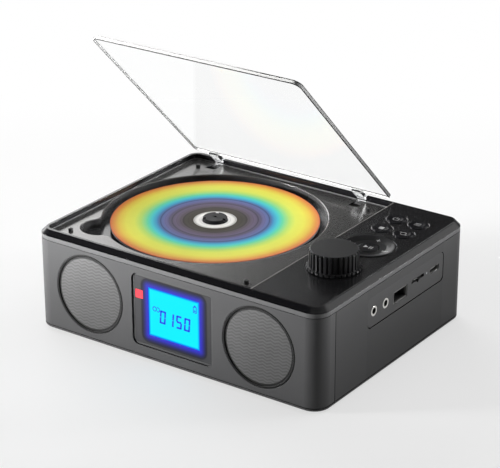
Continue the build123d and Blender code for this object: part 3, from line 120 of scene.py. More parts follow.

# The lid: the way its upper face looks at rest, where the painted lines of reflection and shade along its
# edge start and are full, that way from the hinge pins' axis, where the upper line darkens, and its colours,
# with painted shade on its right side
LID_UPWARD = (0.0, 0.7108, 0.7034)
LID_UPPER_LINE = (3.0 * MM, 3.15 * MM)
LID_LOWER_LINE = (1.75 * MM, 1.6 * MM)
LID_LINE_DARKENS_X = (4 * MM, 18 * MM)
CLEAR = (0.99, 0.995, 0.993, 1)
MILKY = (0.70, 0.70, 0.69, 1)
EDGE_SHADE = (0.10, 0.10, 0.10, 1)
LINE_GREY = (0.30, 0.30, 0.30, 1)
LINE_BLACK = (0.02, 0.02, 0.02, 1)
UNDER_BLACK = (0.015, 0.015, 0.015, 1)


def join(tree, value, socket):
    """Puts a number, a colour or another node's output into a socket."""
    if isinstance(value, bpy.types.NodeSocket):
        tree.links.new(value, socket)
    else:
        socket.default_value = value


def fill(tree, node, **inputs):
    """Puts values into a node's inputs, by name."""
    for key, value in inputs.items():
        join(tree, value, node.inputs[key.replace("_", " ")])
    return node


def new_node(tree, kind, **inputs):
    """Adds a shader node and puts values into its inputs, by name."""
    return fill(tree, tree.nodes.new(kind), **inputs)


def calc(tree, operation, a, b=0.0, c=0.0):
    """One step of arithmetic on numbers or sockets."""
    node = tree.nodes.new("ShaderNodeMath")
    node.operation = operation
    for value, socket in zip((a, b, c), node.inputs):
        join(tree, value, socket)
    return node.outputs[0]


def product(tree, first, *others):
    """All the values multiplied."""
    for other in others:
        first = calc(tree, "MULTIPLY", first, other)
    return first


def either(tree, first, *others):
    """The highest of the values: where any of several masks is 1."""
    for other in others:
        first = calc(tree, "MAXIMUM", first, other)
    return first


def opposite(tree, mask):
    """1 where a mask is 0, and 0 where it is 1."""
    return calc(tree, "SUBTRACT", 1.0, mask)


def diagonal(tree, a, b):
    """The length of a line that goes a one way and b across it."""
    return calc(tree, "SQRT", calc(tree, "MULTIPLY_ADD", a, a, product(tree, b, b)))


def dot(tree, vector, direction):
    """How far a vector goes in a direction."""
    node = tree.nodes.new("ShaderNodeVectorMath")
    node.operation = "DOT_PRODUCT"
    tree.links.new(vector, node.inputs[0])
    node.inputs[1].default_value = direction
    return node.outputs["Value"]


def from_nearest(tree, value, step):
    """How far a value is from the nearest whole number of steps."""
    return calc(tree, "PINGPONG", value, step / 2)


def inset(tree, value, middle, half):
    """How far a value is inside a band: half at its middle, 0 at its ends and less outside."""
    return calc(tree, "SUBTRACT", half, calc(tree, "ABSOLUTE", calc(tree, "SUBTRACT", value, middle)))


def beyond(tree, value, middle, half):
    """How far a value is outside a band, and 0 inside it."""
    return either(tree, product(tree, inset(tree, value, middle, half), -1.0), 0.0)


def between(tree, value, low, high):
    """0 below low, 1 above high, smooth in between."""
    node = new_node(tree, "ShaderNodeMapRange", Value=value, From_Min=low, From_Max=high)
    node.interpolation_type = "SMOOTHSTEP"
    return node.outputs["Result"]


def near(tree, value, middle, half, soft=0.06 * MM):
    """1 within half of a middle value, 0 outside."""
    return between(tree, inset(tree, value, middle, half), -soft, 0.0)


def scaled(tree, share, low, high):
    """A number that goes from low to high as a share goes from 0 to 1."""
    node = tree.nodes.new("ShaderNodeMix")
    for value, socket in zip((share, low, high), (node.inputs[0], node.inputs[2], node.inputs[3])):
        join(tree, value, socket)
    return node.outputs[0]


def blend_colour(tree, factor, a, b, mode="MIX"):
    """A mix of two colours."""
    node = tree.nodes.new("ShaderNodeMix")
    node.data_type = "RGBA"
    node.blend_type = mode
    for value, socket in zip((factor, a, b), (node.inputs[0], node.inputs[6], node.inputs[7])):
        join(tree, value, socket)
    return node.outputs[2]


def cloudy(tree, cloud, colour, low=0.9):
    """A colour that goes from a low share of itself to a tenth above it with a cloud."""
    darker, lighter = ([channel * share for channel in colour] + [1.0] for share in (low, 1.1))
    return blend_colour(tree, cloud, darker, lighter)


def parts(tree, vector):
    """A vector's x, y and z."""
    return tuple(new_node(tree, "ShaderNodeSeparateXYZ", Vector=vector).outputs)


def places(tree):
    """The point, and its x, y and z in the row frame, in metres."""
    where = tree.nodes.new("ShaderNodeTexCoord").outputs["Object"]
    return (where,) + parts(tree, where)


def noise(tree, where, scale, detail=3.0, roughness=0.5):
    """Soft noise between 0 and 1; scale is in lumps per metre."""
    made = new_node(tree, "ShaderNodeTexNoise", Vector=where, Scale=scale, Detail=detail, Roughness=roughness)
    return made.outputs["Fac"]


def bump(tree, height, distance, normal, strength=1.0):
    """A bump map from a height between 0 and 1, distance high, on a surface that has a normal."""
    made = new_node(tree, "ShaderNodeBump", Height=height, Distance=distance, Normal=normal,
                    Strength=strength)
    return made.outputs["Normal"]


def soft_edges(tree, radius):
    """A normal that rounds the solid's sharp edges."""
    node = new_node(tree, "ShaderNodeBevel", Radius=radius)
    node.samples = 6
    return node.outputs["Normal"]


def new_material(name):
    """A material with an empty Principled shader: the material, its nodes and the shader."""
    made = bpy.data.materials.new(name)
    made.use_nodes = True
    return made, made.node_tree, made.node_tree.nodes["Principled BSDF"]


def grained(name, colour, roughness, grain=0.35, depth=0.006, edge=0.2, metallic=0.0, specular=0.5):
    """Moulded or painted surface: fine grain, faint cloudy colour, uneven gloss and softened edges.

    The size and depth of the grain and the radius of the edges are in millimetres.
    """
    made, tree, shader = new_material(name)
    where = places(tree)[0]
    fine = noise(tree, where, 1.0 / (grain * MM), 2.0)
    cloud = noise(tree, where, 28.0, 4.0, 0.6)
    smear = noise(tree, where, 50.0, 1.5, 0.5)
    fill(tree, shader, Base_Color=cloudy(tree, cloud, colour), Metallic=metallic,
         Roughness=scaled(tree, smear, 0.94 * roughness, 1.06 * roughness), Specular_IOR_Level=specular,
         Normal=bump(tree, fine, depth * MM, soft_edges(tree, edge * MM)))
    return made


def darken(made, mask, left):
    """Paints shade: dims and dulls a material where a mask is 1, down to a share of its colour."""
    tree = made.node_tree
    shader = tree.nodes["Principled BSDF"]
    colour, roughness = (shader.inputs[name].links[0].from_socket for name in ("Base Color", "Roughness"))
    shade = mask(tree)
    fill(tree, shader, Roughness=calc(tree, "MULTIPLY_ADD", shade, 0.5, roughness),
         Base_Color=blend_colour(tree, 1.0, colour, scaled(tree, shade, 1.0, left), "MULTIPLY"))
    return made


def painted_seam_shade(tree):
    """Painted shade in the narrow gaps between the case's parts."""
    _, _, y, z = places(tree)
    return either(tree, near(tree, z, *LOW_SEAM_Z), near(tree, z, *HIGH_SEAM_Z), near(tree, y, *FRONT_SEAM_Y))


def housing_shade(tree):
    """Painted shade in the seam gaps, and in the shallow recess that the port panel sits in."""
    _, x, y, _ = places(tree)
    pocket_half = (port_high.y - port_low.y) / 2 + 0.4 * MM
    # Painted shade inside the recess round the port panel.
    pocket_shade = product(tree, near(tree, x, port_high.x - 0.9 * MM, 0.85 * MM),
                     near(tree, y, (port_low.y + port_high.y) / 2, pocket_half))
    return either(tree, painted_seam_shade(tree), pocket_shade)


def rim_material():
    """Top frame: satin grey on its outer walls, polished black above them."""
    made, tree, shader = new_material("rim")
    where, _, _, height = places(tree)
    above = between(tree, height, *RIM_GLOSS)
    smear = noise(tree, where, 40.0, 1.0)
    satin = scaled(tree, smear, 0.36, 0.41)
    gloss = scaled(tree, smear, 0.16, 0.19)
    grain = product(tree, noise(tree, where, 2800.0, 2.0), opposite(tree, above))
    fill(tree, shader, Roughness=scaled(tree, above, satin, gloss), Specular_IOR_Level=0.3,
         Base_Color=blend_colour(tree, above, (0.070, 0.070, 0.071, 1), (0.003, 0.003, 0.0035, 1)),
         Normal=bump(tree, grain, 0.006 * MM, soft_edges(tree, 0.18 * MM)))
    return made


def deck_material():
    """Deck and well: dark satin deck with a faint metallic sheen, and a black well below it."""
    made, tree, shader = new_material("deck")
    where, _, _, height = places(tree)
    on_deck = between(tree, height, *DECK_SATIN)
    smear = noise(tree, where, 35.0, 1.0)
    fine = noise(tree, where, 2400.0, 2.0)
    fill(tree, shader, Metallic=product(tree, on_deck, 0.75), Roughness=scaled(tree, smear, 0.18, 0.21),
         Base_Color=blend_colour(tree, on_deck, (0.030, 0.030, 0.031, 1), (0.12, 0.118, 0.116, 1)),
         Normal=bump(tree, fine, 0.0006 * MM, soft_edges(tree, 0.3 * MM)))
    return made


def disc_colour(tree, radius):
    """The disc's rings of colour, which fade into each other, by distance from its middle."""
    ramp = new_node(tree, "ShaderNodeValToRGB", Fac=calc(tree, "DIVIDE", radius, disc_radius))
    stops = ramp.color_ramp.elements
    while len(stops) < len(DISC_RINGS):
        stops.new(1.0)
    for stop, (at, colour) in zip(stops, DISC_RINGS):
        stop.position = at * MM / disc_radius
        stop.color = colour + (1.0,)
    return ramp.outputs["Color"]


def disc_hairlines(tree, radius):
    """Thin dark rings in the disc's inner part, fine ones and bolder ones."""
    fine = near(tree, from_nearest(tree, radius, FINE_HAIRLINE_STEP), 0.0, 0.09 * MM, 0.12 * MM)
    from_start = calc(tree, "SUBTRACT", radius, BOLD_HAIRLINE_START)
    bold = near(tree, from_nearest(tree, from_start, BOLD_HAIRLINE_STEP), 0.0, 0.14 * MM, 0.16 * MM)
    lines = either(tree, product(tree, fine, 0.3), product(tree, bold, 0.6))
    return product(tree, lines, between(tree, radius, *HAIRLINES_WITHIN))


def disc_material():
    """Printed disc: coloured rings with fine lines, a white inner ring, and pale plastic underneath."""
    made, tree, shader = new_material("disc_print")
    where, x, y, height = places(tree)
    radius = diagonal(tree, calc(tree, "SUBTRACT", x, disc_x), calc(tree, "SUBTRACT", y, disc_y))
    cloud = noise(tree, where, 55.0, 3.0, 0.6)
    printed = blend_colour(tree, 1.0, disc_colour(tree, radius), scaled(tree, cloud, 0.93, 1.07), "MULTIPLY")
    printed = blend_colour(tree, 1.0, printed, opposite(tree, disc_hairlines(tree, radius)), "MULTIPLY")
    grooves = calc(tree, "SINE", product(tree, radius, 2 * pi / DISC_GROOVE_STEP))
    fill(tree, shader, Roughness=scaled(tree, cloud, 0.46, 0.52), Specular_IOR_Level=0.06,
         Base_Color=blend_colour(tree, between(tree, height, *DISC_PRINT), (0.5, 0.52, 0.56, 1), printed),
         Normal=bump(tree, grooves, 0.0012 * MM, soft_edges(tree, 0.15 * MM)))
    return made


def grille_material(name, node):
    """Fine speaker mesh: shallow wavy rows of tiny holes pressed in grey sheet, with painted shadow of its
    ring along its rim.
    """
    made, tree, shader = new_material(name)
    where, x, _, z = places(tree)
    low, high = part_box(node)
    across = calc(tree, "SUBTRACT", x, (low.x + high.x) / 2)
    upward = calc(tree, "SUBTRACT", z, (low.z + high.z) / 2)
    # Painted shadow of the grille's ring along the mesh's rim.
    rim = between(tree, diagonal(tree, across, upward), *MESH_RING_SHADOW)
    rows = calc(tree, "MULTIPLY_ADD", from_nearest(tree, x, MESH_ZIGZAG_STEP), MESH_ZIGZAG_SLOPE, z)
    wave = calc(tree, "SINE", product(tree, rows, 2 * pi / MESH_ROW_STEP))
    lifted = calc(tree, "MULTIPLY_ADD", wave, 0.5, 0.5)
    holes = new_node(tree, "ShaderNodeTexVoronoi", Vector=where, Scale=1.0 / MESH_HOLE_PITCH, Randomness=0.15)
    sheet = between(tree, holes.outputs["Distance"], 0.16, 0.34)
    cloud = noise(tree, where, 120.0, 3.0)
    grey = product(tree, scaled(tree, lifted, 0.042, 0.066), scaled(tree, cloud, 0.9, 1.1),
                   scaled(tree, sheet, 0.65, 1.0), scaled(tree, rim, 1.0, 0.07))
    tint = new_node(tree, "ShaderNodeCombineColor", Red=grey, Green=grey, Blue=grey)
    flat = tree.nodes.new("ShaderNodeNewGeometry").outputs["True Normal"]
    fill(tree, shader, Base_Color=tint.outputs[0], Metallic=0.2, Specular_IOR_Level=0.3,
         Roughness=scaled(tree, cloud, 0.45, 0.51),
         Normal=bump(tree, product(tree, lifted, sheet), 0.06 * MM, flat, 0.5))
    return made


def bezel_material():
    """Display surround: black window in a grey border, with a painted glow of the screen's blue light on it.
    """
    made, tree, shader = new_material("display_surround")
    where, x, _, z = places(tree)
    away = diagonal(tree, beyond(tree, x, screen_x, SCREEN_WIDTH / 2),
                    beyond(tree, z, screen_z, SCREEN_HEIGHT / 2))
    # Painted glow: the surround's emission stands in for the screen's light.
    glow = calc(tree, "POWER", between(tree, away, GLOW_REACH, 0.0), GLOW_FALL)
    half_x = (bezel_high.x - bezel_low.x) / 2
    half_z = (bezel_high.z - bezel_low.z) / 2
    inward = calc(tree, "MINIMUM", inset(tree, x, bezel_low.x + half_x, half_x),
                  inset(tree, z, bezel_low.z + half_z, half_z))
    cloud = noise(tree, where, 60.0, 3.0)
    colour = blend_colour(tree, cloud, (0.024, 0.024, 0.026, 1), (0.030, 0.030, 0.032, 1))
    colour = blend_colour(tree, between(tree, away, *WINDOW_PRINT), colour, (0.005, 0.005, 0.008, 1))
    colour = blend_colour(tree, between(tree, inward, *WINDOW_BORDER), colour, (0.048, 0.048, 0.049, 1))
    colour = blend_colour(tree, near(tree, inward, 1.6 * MM, 0.10 * MM), colour, (0.008, 0.008, 0.008, 1))
    fine = noise(tree, where, 2600.0, 2.0)
    fill(tree, shader, Base_Color=colour, Roughness=scaled(tree, cloud, 0.34, 0.40), Specular_IOR_Level=0.2,
         Emission_Color=(0.012, 0.012, 0.62, 1), Emission_Strength=product(tree, glow, 0.95),
         Normal=bump(tree, fine, 0.004 * MM, soft_edges(tree, 0.25 * MM)))
    return made


def mouth_material(name, front, colour, metallic, roughness):
    """A socket: metal at its mouth, from a given x outward, and black inside."""
    made, tree, shader = new_material(name)
    where, x, _, _ = places(tree)
    out = between(tree, x, front - 0.1 * MM, front + 0.1 * MM)
    cloud = noise(tree, where, 300.0, 3.0)
    metal = cloudy(tree, cloud, colour, 0.85)
    fine = noise(tree, where, 2500.0, 2.0)
    fill(tree, shader, Base_Color=blend_colour(tree, out, (0.020, 0.020, 0.021, 1), metal),
         Metallic=product(tree, out, metallic), Roughness=scaled(tree, cloud, roughness, roughness + 0.08),
         Normal=bump(tree, fine, 0.002 * MM, soft_edges(tree, 0.1 * MM)))
    return made


def panel_material():
    """Control panel: black half-gloss plastic, with a painted highlight along its left chamfer."""
    made = grained("panel_half_gloss", (0.006, 0.006, 0.0065), 0.20, grain=0.8, depth=0.0003, edge=0.25)
    tree = made.node_tree
    shader = tree.nodes["Principled BSDF"]
    colour = shader.inputs["Base Color"].links[0].from_socket
    # A painted highlight along the panel's left chamfer.
    bevel_highlight = near(tree, places(tree)[1], panel_left + 0.3 * MM, 0.25 * MM)
    fill(tree, shader, Base_Color=blend_colour(tree, bevel_highlight, colour, (0.20, 0.19, 0.18, 1)))
    return made


def lit(name, colour, strength, base):
    """A surface that glows by itself, a little unevenly."""
    made, tree, shader = new_material(name)
    cloud = noise(tree, places(tree)[0], 45.0, 2.0)
    fill(tree, shader, Base_Color=base + (1.0,), Roughness=0.2, Emission_Color=colour + (1.0,),
         Emission_Strength=scaled(tree, cloud, 0.94 * strength, 1.06 * strength))
    return made


def screen_material():
    """Backlit screen: bright cyan, bluer at its edges, behind the glass's gloss."""
    made, tree, shader = new_material("screen")
    where, x, _, z = places(tree)
    inward = calc(tree, "MINIMUM", inset(tree, x, screen_x, SCREEN_WIDTH / 2),
                  inset(tree, z, screen_z, SCREEN_HEIGHT / 2))
    inner = between(tree, inward, 0.0, 1.6 * MM)
    cloud = noise(tree, where, 40.0, 2.0)
    fill(tree, shader, Base_Color=(0.002, 0.02, 0.03, 1), Roughness=0.25, Specular_IOR_Level=0.05,
         Emission_Color=blend_colour(tree, inner, (0.0, 0.12, 0.85, 1), (0.0, 0.86, 1.0, 1)),
         Emission_Strength=scaled(tree, cloud, 0.94, 1.02))
    return made


def clear_material(name, tint, roughness, ior):
    """Clear acrylic that lets lamps through, with faint hairlines in its polish."""
    made, tree, shader = new_material(name)
    stretch = new_node(tree, "ShaderNodeMapping", Vector=places(tree)[0], Scale=(1.0, 14.0, 1.0))
    hair = noise(tree, stretch.outputs[0], 40.0, 4.0, 0.7)
    fill(tree, shader, Base_Color=tint, Transmission_Weight=1.0, IOR=ior,
         Roughness=scaled(tree, hair, 0.004, 0.004 + roughness))
    mixed = tree.nodes.new("ShaderNodeMixShader")
    tree.links.new(tree.nodes.new("ShaderNodeLightPath").outputs["Is Shadow Ray"], mixed.inputs[0])
    tree.links.new(shader.outputs[0], mixed.inputs[1])
    tree.links.new(tree.nodes.new("ShaderNodeBsdfTransparent").outputs[0], mixed.inputs[2])
    tree.links.new(mixed.outputs[0], tree.nodes["Material Output"].inputs["Surface"])
    return made


def lid_material():
    """The clear lid: a milky edge between two thin painted lines of reflection and shade, a right side in
    painted shade and a clear left one.
    """
    made = clear_material("lid_clear", CLEAR, 0.003, 1.06)
    tree = made.node_tree
    shader = tree.nodes["Principled BSDF"]
    normal = tree.nodes.new("ShaderNodeTexCoord").outputs["Normal"]
    facing = dot(tree, normal, LID_UPWARD)
    sideways = parts(tree, normal)[0]
    _, x, y, z = places(tree)
    across = product(tree, calc(tree, "SUBTRACT", y, pin_y), LID_UPWARD[1])
    across = calc(tree, "MULTIPLY_ADD", calc(tree, "SUBTRACT", z, pin_z), LID_UPWARD[2], across)
    edge = near(tree, facing, 0.0, 0.35, 0.1)
    # The upper and lower lines along the lid's edge are painted reflection and shade.
    over = either(tree, near(tree, facing, 0.7, 0.2, 0.08),
                  product(tree, edge, between(tree, across, *LID_UPPER_LINE)))
    under = either(tree, near(tree, facing, -0.7, 0.2, 0.08),
                   product(tree, edge, between(tree, across, *LID_LOWER_LINE)))
    # Painted shade on the lid's right side faces; the left ones are kept clear.
    right = between(tree, sideways, 0.3, 0.6)
    left = between(tree, sideways, -0.3, -0.5)
    # The upper line goes from grey to black along x: painted shade.
    line = blend_colour(tree, between(tree, x, *LID_LINE_DARKENS_X), LINE_GREY, LINE_BLACK)
    colour = blend_colour(tree, edge, CLEAR, blend_colour(tree, right, MILKY, EDGE_SHADE))
    colour = blend_colour(tree, over, colour, line)
    colour = blend_colour(tree, under, colour, UNDER_BLACK)
    colour = blend_colour(tree, left, colour, CLEAR)
    solid = either(tree, product(tree, edge, 0.5), over, under, product(tree, edge, right, 0.9))
    solid = product(tree, solid, opposite(tree, left))
    fill(tree, shader, Base_Color=colour, Transmission_Weight=opposite(tree, solid))
    return made


def board_material():
    """Green circuit board with faint copper tracks under the lacquer."""
    made, tree, shader = new_material("circuit_board")
    where = places(tree)[0]
    tracks = new_node(tree, "ShaderNodeTexBrick", Vector=where, Scale=220.0, Color1=(0.012, 0.085, 0.03, 1),
                      Color2=(0.016, 0.11, 0.04, 1), Mortar=(0.05, 0.2, 0.08, 1))
    fill(tree, shader, Base_Color=tracks.outputs["Color"],
         Roughness=scaled(tree, noise(tree, where, 80.0), 0.25, 0.35))
    return made


def dress(material, *names):
    """Puts one material on CAD nodes."""
    for name in names:
        slots = nodes[name].material_slots
        if not slots:
            nodes[name].data.materials.append(material)
        for slot in slots:
            slot.material = material


def case_satin(name, colour):
    """The case's satin plastic, in one of its shades."""
    return grained(name, colour, 0.42, specular=0.2)


def black_gloss(name, colour, roughness, specular, edge=0.25):
    """Smooth black plastic, of the ring and the buttons."""
    return grained(name, colour, roughness, grain=0.8, depth=0.0003, edge=edge, specular=specular)


# The case's plastics carry painted shade in their seam gaps, and the housing also in its port recess.
dress(darken(case_satin("case_satin", (0.034, 0.034, 0.035)), housing_shade, SEAM_LEFT), "main_housing")
dress(darken(case_satin("plate_satin", (0.045, 0.045, 0.046)), painted_seam_shade, SEAM_LEFT), "bottom_plate")
dress(darken(case_satin("front_satin", (0.044, 0.044, 0.045)), painted_seam_shade, SEAM_LEFT), "front_panel")
dress(case_satin("port_satin", (0.040, 0.040, 0.041)), "port_panel")
dress(rim_material(), "top_frame")
dress(deck_material(), "deck_tray")
dress(panel_material(), "control_panel")
dress(black_gloss("ring_gloss", (0.003, 0.003, 0.0035), 0.30, 0.08), "nav_ring")
dress(black_gloss("button_gloss", (0.005, 0.005, 0.006), 0.20, 0.18, edge=0.3),
      "play_button", "power_button", "mode_button", "repeat_button", "stop_button")
dress(grained("knob_satin", (0.007, 0.007, 0.0075), 0.32, grain=0.3, depth=0.003, edge=0.25, specular=0.15),
      "volume_knob")
dress(grained("grille_ring_gloss", (0.004, 0.004, 0.004), 0.45, specular=0.15),
      "grille_ring_left", "grille_ring_right")
dress(grille_material("grille_mesh_left", "grille_left"), "grille_left")
dress(grille_material("grille_mesh_right", "grille_right"), "grille_right")
dress(bezel_material(), "display_bezel")
dress(screen_material(), "lcd_module")
# The receiver window is no lamp: its red glow is painted light.
dress(lit("receiver_window", (0.88, 0.070, 0.105), 0.80, (0.30, 0.008, 0.012)), "ir_window")
# The light pipe's faint glow is painted light on the pickup lens, which is no lamp.
dress(lit("light_pipe", (0.5, 0.55, 0.6), 0.05, (0.35, 0.36, 0.38)), "status_light", "pickup_lens")
dress(disc_material(), "compact_disc")
dress(grained("hub_black", (0.006, 0.006, 0.0065), 0.38, grain=0.4, depth=0.003, specular=0.08),
      "spindle_hub")
dress(lid_material(), "lid")
dress(clear_material("arm_clear", (0.96, 0.97, 0.975, 1), 0.05, 1.22), "hinge_arm_left", "hinge_arm_right")
dress(mouth_material("jack_ring", JACK_MOUTH_X, (0.74, 0.73, 0.70), 1.0, 0.16), "headphone_jack", "aux_jack")
dress(mouth_material("socket_shell", SOCKET_MOUTH_X, (0.16, 0.16, 0.155), 0.6, 0.25),
      "usb_socket", "card_socket", "charge_socket")
dress(grained("rubber", (0.010, 0.010, 0.010), 0.62, grain=0.25, depth=0.012),
      "rubber_feet", "lid_bumpers", "nav_rubber", "damper_mounts")
dress(grained("steel", (0.55, 0.55, 0.56), 0.24, grain=0.2, depth=0.002, metallic=1.0),
      "case_screws", "spindle_shaft", "spindle_motor", "guide_rods", "feed_motor", "encoder_body",
      "encoder_shaft", "hinge_pins")
dress(grained("dark_plastic", (0.016, 0.016, 0.017), 0.45),
      "mechanism_chassis", "pickup_sled", "tact_switches")
dress(grained("natural_plastic", (0.62, 0.60, 0.54), 0.42), "feed_gear", "feed_pinion")
dress(grained("ferrite", (0.05, 0.05, 0.052), 0.6), "speaker_magnets", "speaker_left", "speaker_right")
dress(grained("cone_paper", (0.03, 0.03, 0.03), 0.8, grain=0.5, depth=0.02),
      "speaker_cone_left", "speaker_cone_right")
dress(grained("battery_film", (0.03, 0.08, 0.22), 0.3), "battery_pack")
dress(board_material(), "main_board", "button_board", "display_board", "port_board")

ink = grained("ink_white", (0.27, 0.27, 0.27), 0.45, depth=0.001)
digit_ink = lit("screen_ink", (0.0, 0.032, 0.60), 0.95, (0.0, 0.01, 0.12))


def flat_piece(name, outlines, lift, material, body):
    """Thin printed marks: each outline is a loop of points, laid on a surface by lift(u, v)."""
    mesh = bpy.data.meshes.new(name)
    points, faces = [], []
    for outline in outlines:
        start = len(points)
        points += [lift(u, v) for u, v in outline]
        faces.append(list(range(start, start + len(outline))))
    mesh.from_pydata(points, [], faces)
    mesh.update()
    made = bpy.data.objects.new(name, mesh)
    bpy.context.scene.collection.objects.link(made)
    made.data.materials.append(material)
    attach(made, body)


# Outlines of the signs, in millimetres from their own middle or corner
SIGN_STROKE = 0.4


def bar(x0, y0, x1, y1):
    """A plain rectangle, with its left and right sides in either order."""
    left, right = sorted((x0, x1))
    return [(left, y0), (right, y0), (right, y1), (left, y1)]


def arrow(x, y, size, way=1):
    """A triangle that points right, or left where way is -1."""
    return [(x, y - size / 2), (x + way * size * 0.85, y), (x, y + size / 2)][::way]


def ring_outlines(radius, width, start=0.0, sweep=360.0, steps=24, at=(0.0, 0.0)):
    """An arc drawn as short four-sided pieces."""
    made = []
    inner, outer = radius - width / 2, radius + width / 2
    for index in range(steps):
        a = radians(start + sweep * index / steps)
        b = radians(start + sweep * (index + 1) / steps)
        made.append([(at[0] + r * cos(t), at[1] + r * sin(t))
                     for r, t in ((inner, a), (outer, a), (outer, b), (inner, b))])
    return made


def power_sign():
    return ring_outlines(1.7, 0.42, 120.0, 300.0) + [bar(-0.22, 0.6, 0.22, 2.2)]


def mode_sign():
    return [bar(-1.9, low, 1.9, low + SIGN_STROKE) for low in (1.0, -0.2, -1.4)]


def repeat_sign():
    arcs = [piece for start in (20.0, 200.0) for piece in ring_outlines(1.6, SIGN_STROKE, start, 140.0, 12)]
    return arcs + [arrow(-1.75, 1.0, 1.3, -1), arrow(1.75, -1.0, 1.3)]


def stop_sign():
    return [bar(-1.4, -1.4, 1.4, 1.4)]


def play_sign():
    return [arrow(-2.6, 0.0, 3.0), bar(0.7, -1.5, 1.3, 1.5), bar(2.0, -1.5, 2.6, 1.5)]


def skip_sign(way):
    return [arrow(-1.9 * way, 0.0, 1.9, way), arrow(-0.3 * way, 0.0, 1.9, way),
            bar(1.35 * way, -0.95, 1.75 * way, 0.95)]


def plus_sign():
    return minus_sign() + [bar(-0.22, 0.22, 0.22, 1.2), bar(-0.22, -1.2, 0.22, -0.22)]


def minus_sign():
    return [bar(-1.2, -0.22, 1.2, 0.22)]


def battery_sign():
    return [bar(0, 0, 0.45, 3.8), bar(1.95, 0, 2.4, 3.8), bar(0.45, 0, 1.95, 0.45),
            bar(0.45, 3.35, 1.95, 3.8), bar(0.7, 3.8, 1.7, 4.5), bar(0.75, 0.75, 1.65, 1.7)]


def disc_sign():
    whole = ring_outlines(1.25, 0.5, at=(1.25, 1.25))
    return whole + ring_outlines(1.25, 0.5, -120.0, 240.0, 16, at=(3.4, 1.25))


# Signs on the buttons, whose small ones have a shallow spherical dish
DISH_RADIUS = 30.0
DISH_DEPTH = 0.3
SIGN_LIFT = 0.02


def on_button(body, dished=True):
    """Lays marks just above a button's face."""
    low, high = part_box(body)

    def lift(u, v):
        sink = DISH_RADIUS - DISH_DEPTH - sqrt(DISH_RADIUS ** 2 - u * u - v * v) if dished else 0.0
        return (low.x + high.x) / 2 + u * MM, (low.y + high.y) / 2 + v * MM, high.z + (sink + SIGN_LIFT) * MM
    return lift


for body, sign in (("power_button", power_sign()), ("mode_button", mode_sign()),
                   ("repeat_button", repeat_sign()), ("stop_button", stop_sign())):
    flat_piece(body + "_icon", sign, on_button(body), ink, body)
flat_piece("play_button_icon", play_sign(), on_button("play_button", dished=False), ink,
           "play_button")

# Signs on the four-way ring, whose dish slopes up towards its rim
RING_SIGN_REACH = 10.6
RING_SLOPE = 1.0 / 4.15
RING_SLOPE_START = 9.95
RING_DISH_DEPTH = 1.1
RING_SIGN_LIFT = 0.03
play_low, play_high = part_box("play_button")
ring_x = (play_low.x + play_high.x) / 2
ring_y = (play_low.y + play_high.y) / 2


def on_ring(turn):
    """Lays marks on the ring's sloping dish, at one of its four sides."""
    def lift(u, v):
        x = u + RING_SIGN_REACH * cos(turn)
        y = v + RING_SIGN_REACH * sin(turn)
        rise = max(hypot(x, y) - RING_SLOPE_START, 0.0) * RING_SLOPE
        level = ring_top + (rise - RING_DISH_DEPTH + RING_SIGN_LIFT) * MM
        return ring_x + x * MM, ring_y + y * MM, level
    return lift


for side, (name, sign) in enumerate((("next", skip_sign(1)), ("plus", plus_sign()),
                                     ("previous", skip_sign(-1)), ("minus", minus_sign()))):
    flat_piece("nav_ring_" + name, sign, on_ring(side * pi / 2), ink, "nav_ring")

# Seven-segment numbers, a battery and a disc on the screen, each from its own lower left corner
SEGMENTS = {"0": "abcdef", "1": "bc", "5": "acdfg"}
DIGIT_WIDTH = 4.1
DIGIT_HEIGHT = 8.0
DIGIT_STROKE = 1.15
DIGIT_PITCH = 5.5
DIGIT_GAP = 0.14
DIGIT_SLANT = 0.08
DIGITS_AT = (7.4, 9.2)
BATTERY_AT = (30.4, 21.7)
DISC_SIGN_AT = (3.0, 15.6)
SCREEN_SIGN_LIFT = 0.03


def seven_segment(text):
    """Outlines of seven-segment numbers, slanted as on a screen."""
    w, h, t = DIGIT_WIDTH, DIGIT_HEIGHT, DIGIT_STROKE
    end = DIGIT_GAP + t * 0.4
    segments = {
        "a": bar(end, h - t, w - end, h),
        "b": bar(w - t, h / 2 + DIGIT_GAP, w, h - DIGIT_GAP),
        "c": bar(w - t, DIGIT_GAP, w, h / 2 - DIGIT_GAP),
        "d": bar(end, 0, w - end, t),
        "e": bar(0, DIGIT_GAP, t, h / 2 - DIGIT_GAP),
        "f": bar(0, h / 2 + DIGIT_GAP, t, h - DIGIT_GAP),
        "g": bar(end, (h - t) / 2, w - end, (h + t) / 2),
    }
    made = []
    for index, digit in enumerate(text):
        for segment in SEGMENTS[digit]:
            made.append([(x + index * DIGIT_PITCH + DIGIT_SLANT * y, y) for x, y in segments[segment]])
    return made


def on_screen(left, bottom):
    """Lays marks on the screen's glass, from a corner of them given in millimetres from the screen's own."""
    def lift(u, v):
        x = screen_left + (left + u) * MM
        z = screen_bottom + (bottom + v) * MM
        return x, screen_y - SCREEN_SIGN_LIFT * MM, z
    return lift


for name, sign, corner in (("screen_digits", seven_segment("0150"), DIGITS_AT),
                           ("screen_battery", battery_sign(), BATTERY_AT),
                           ("screen_disc", disc_sign(), DISC_SIGN_AT)):
    flat_piece(name, sign, on_screen(*corner), digit_ink, "case")


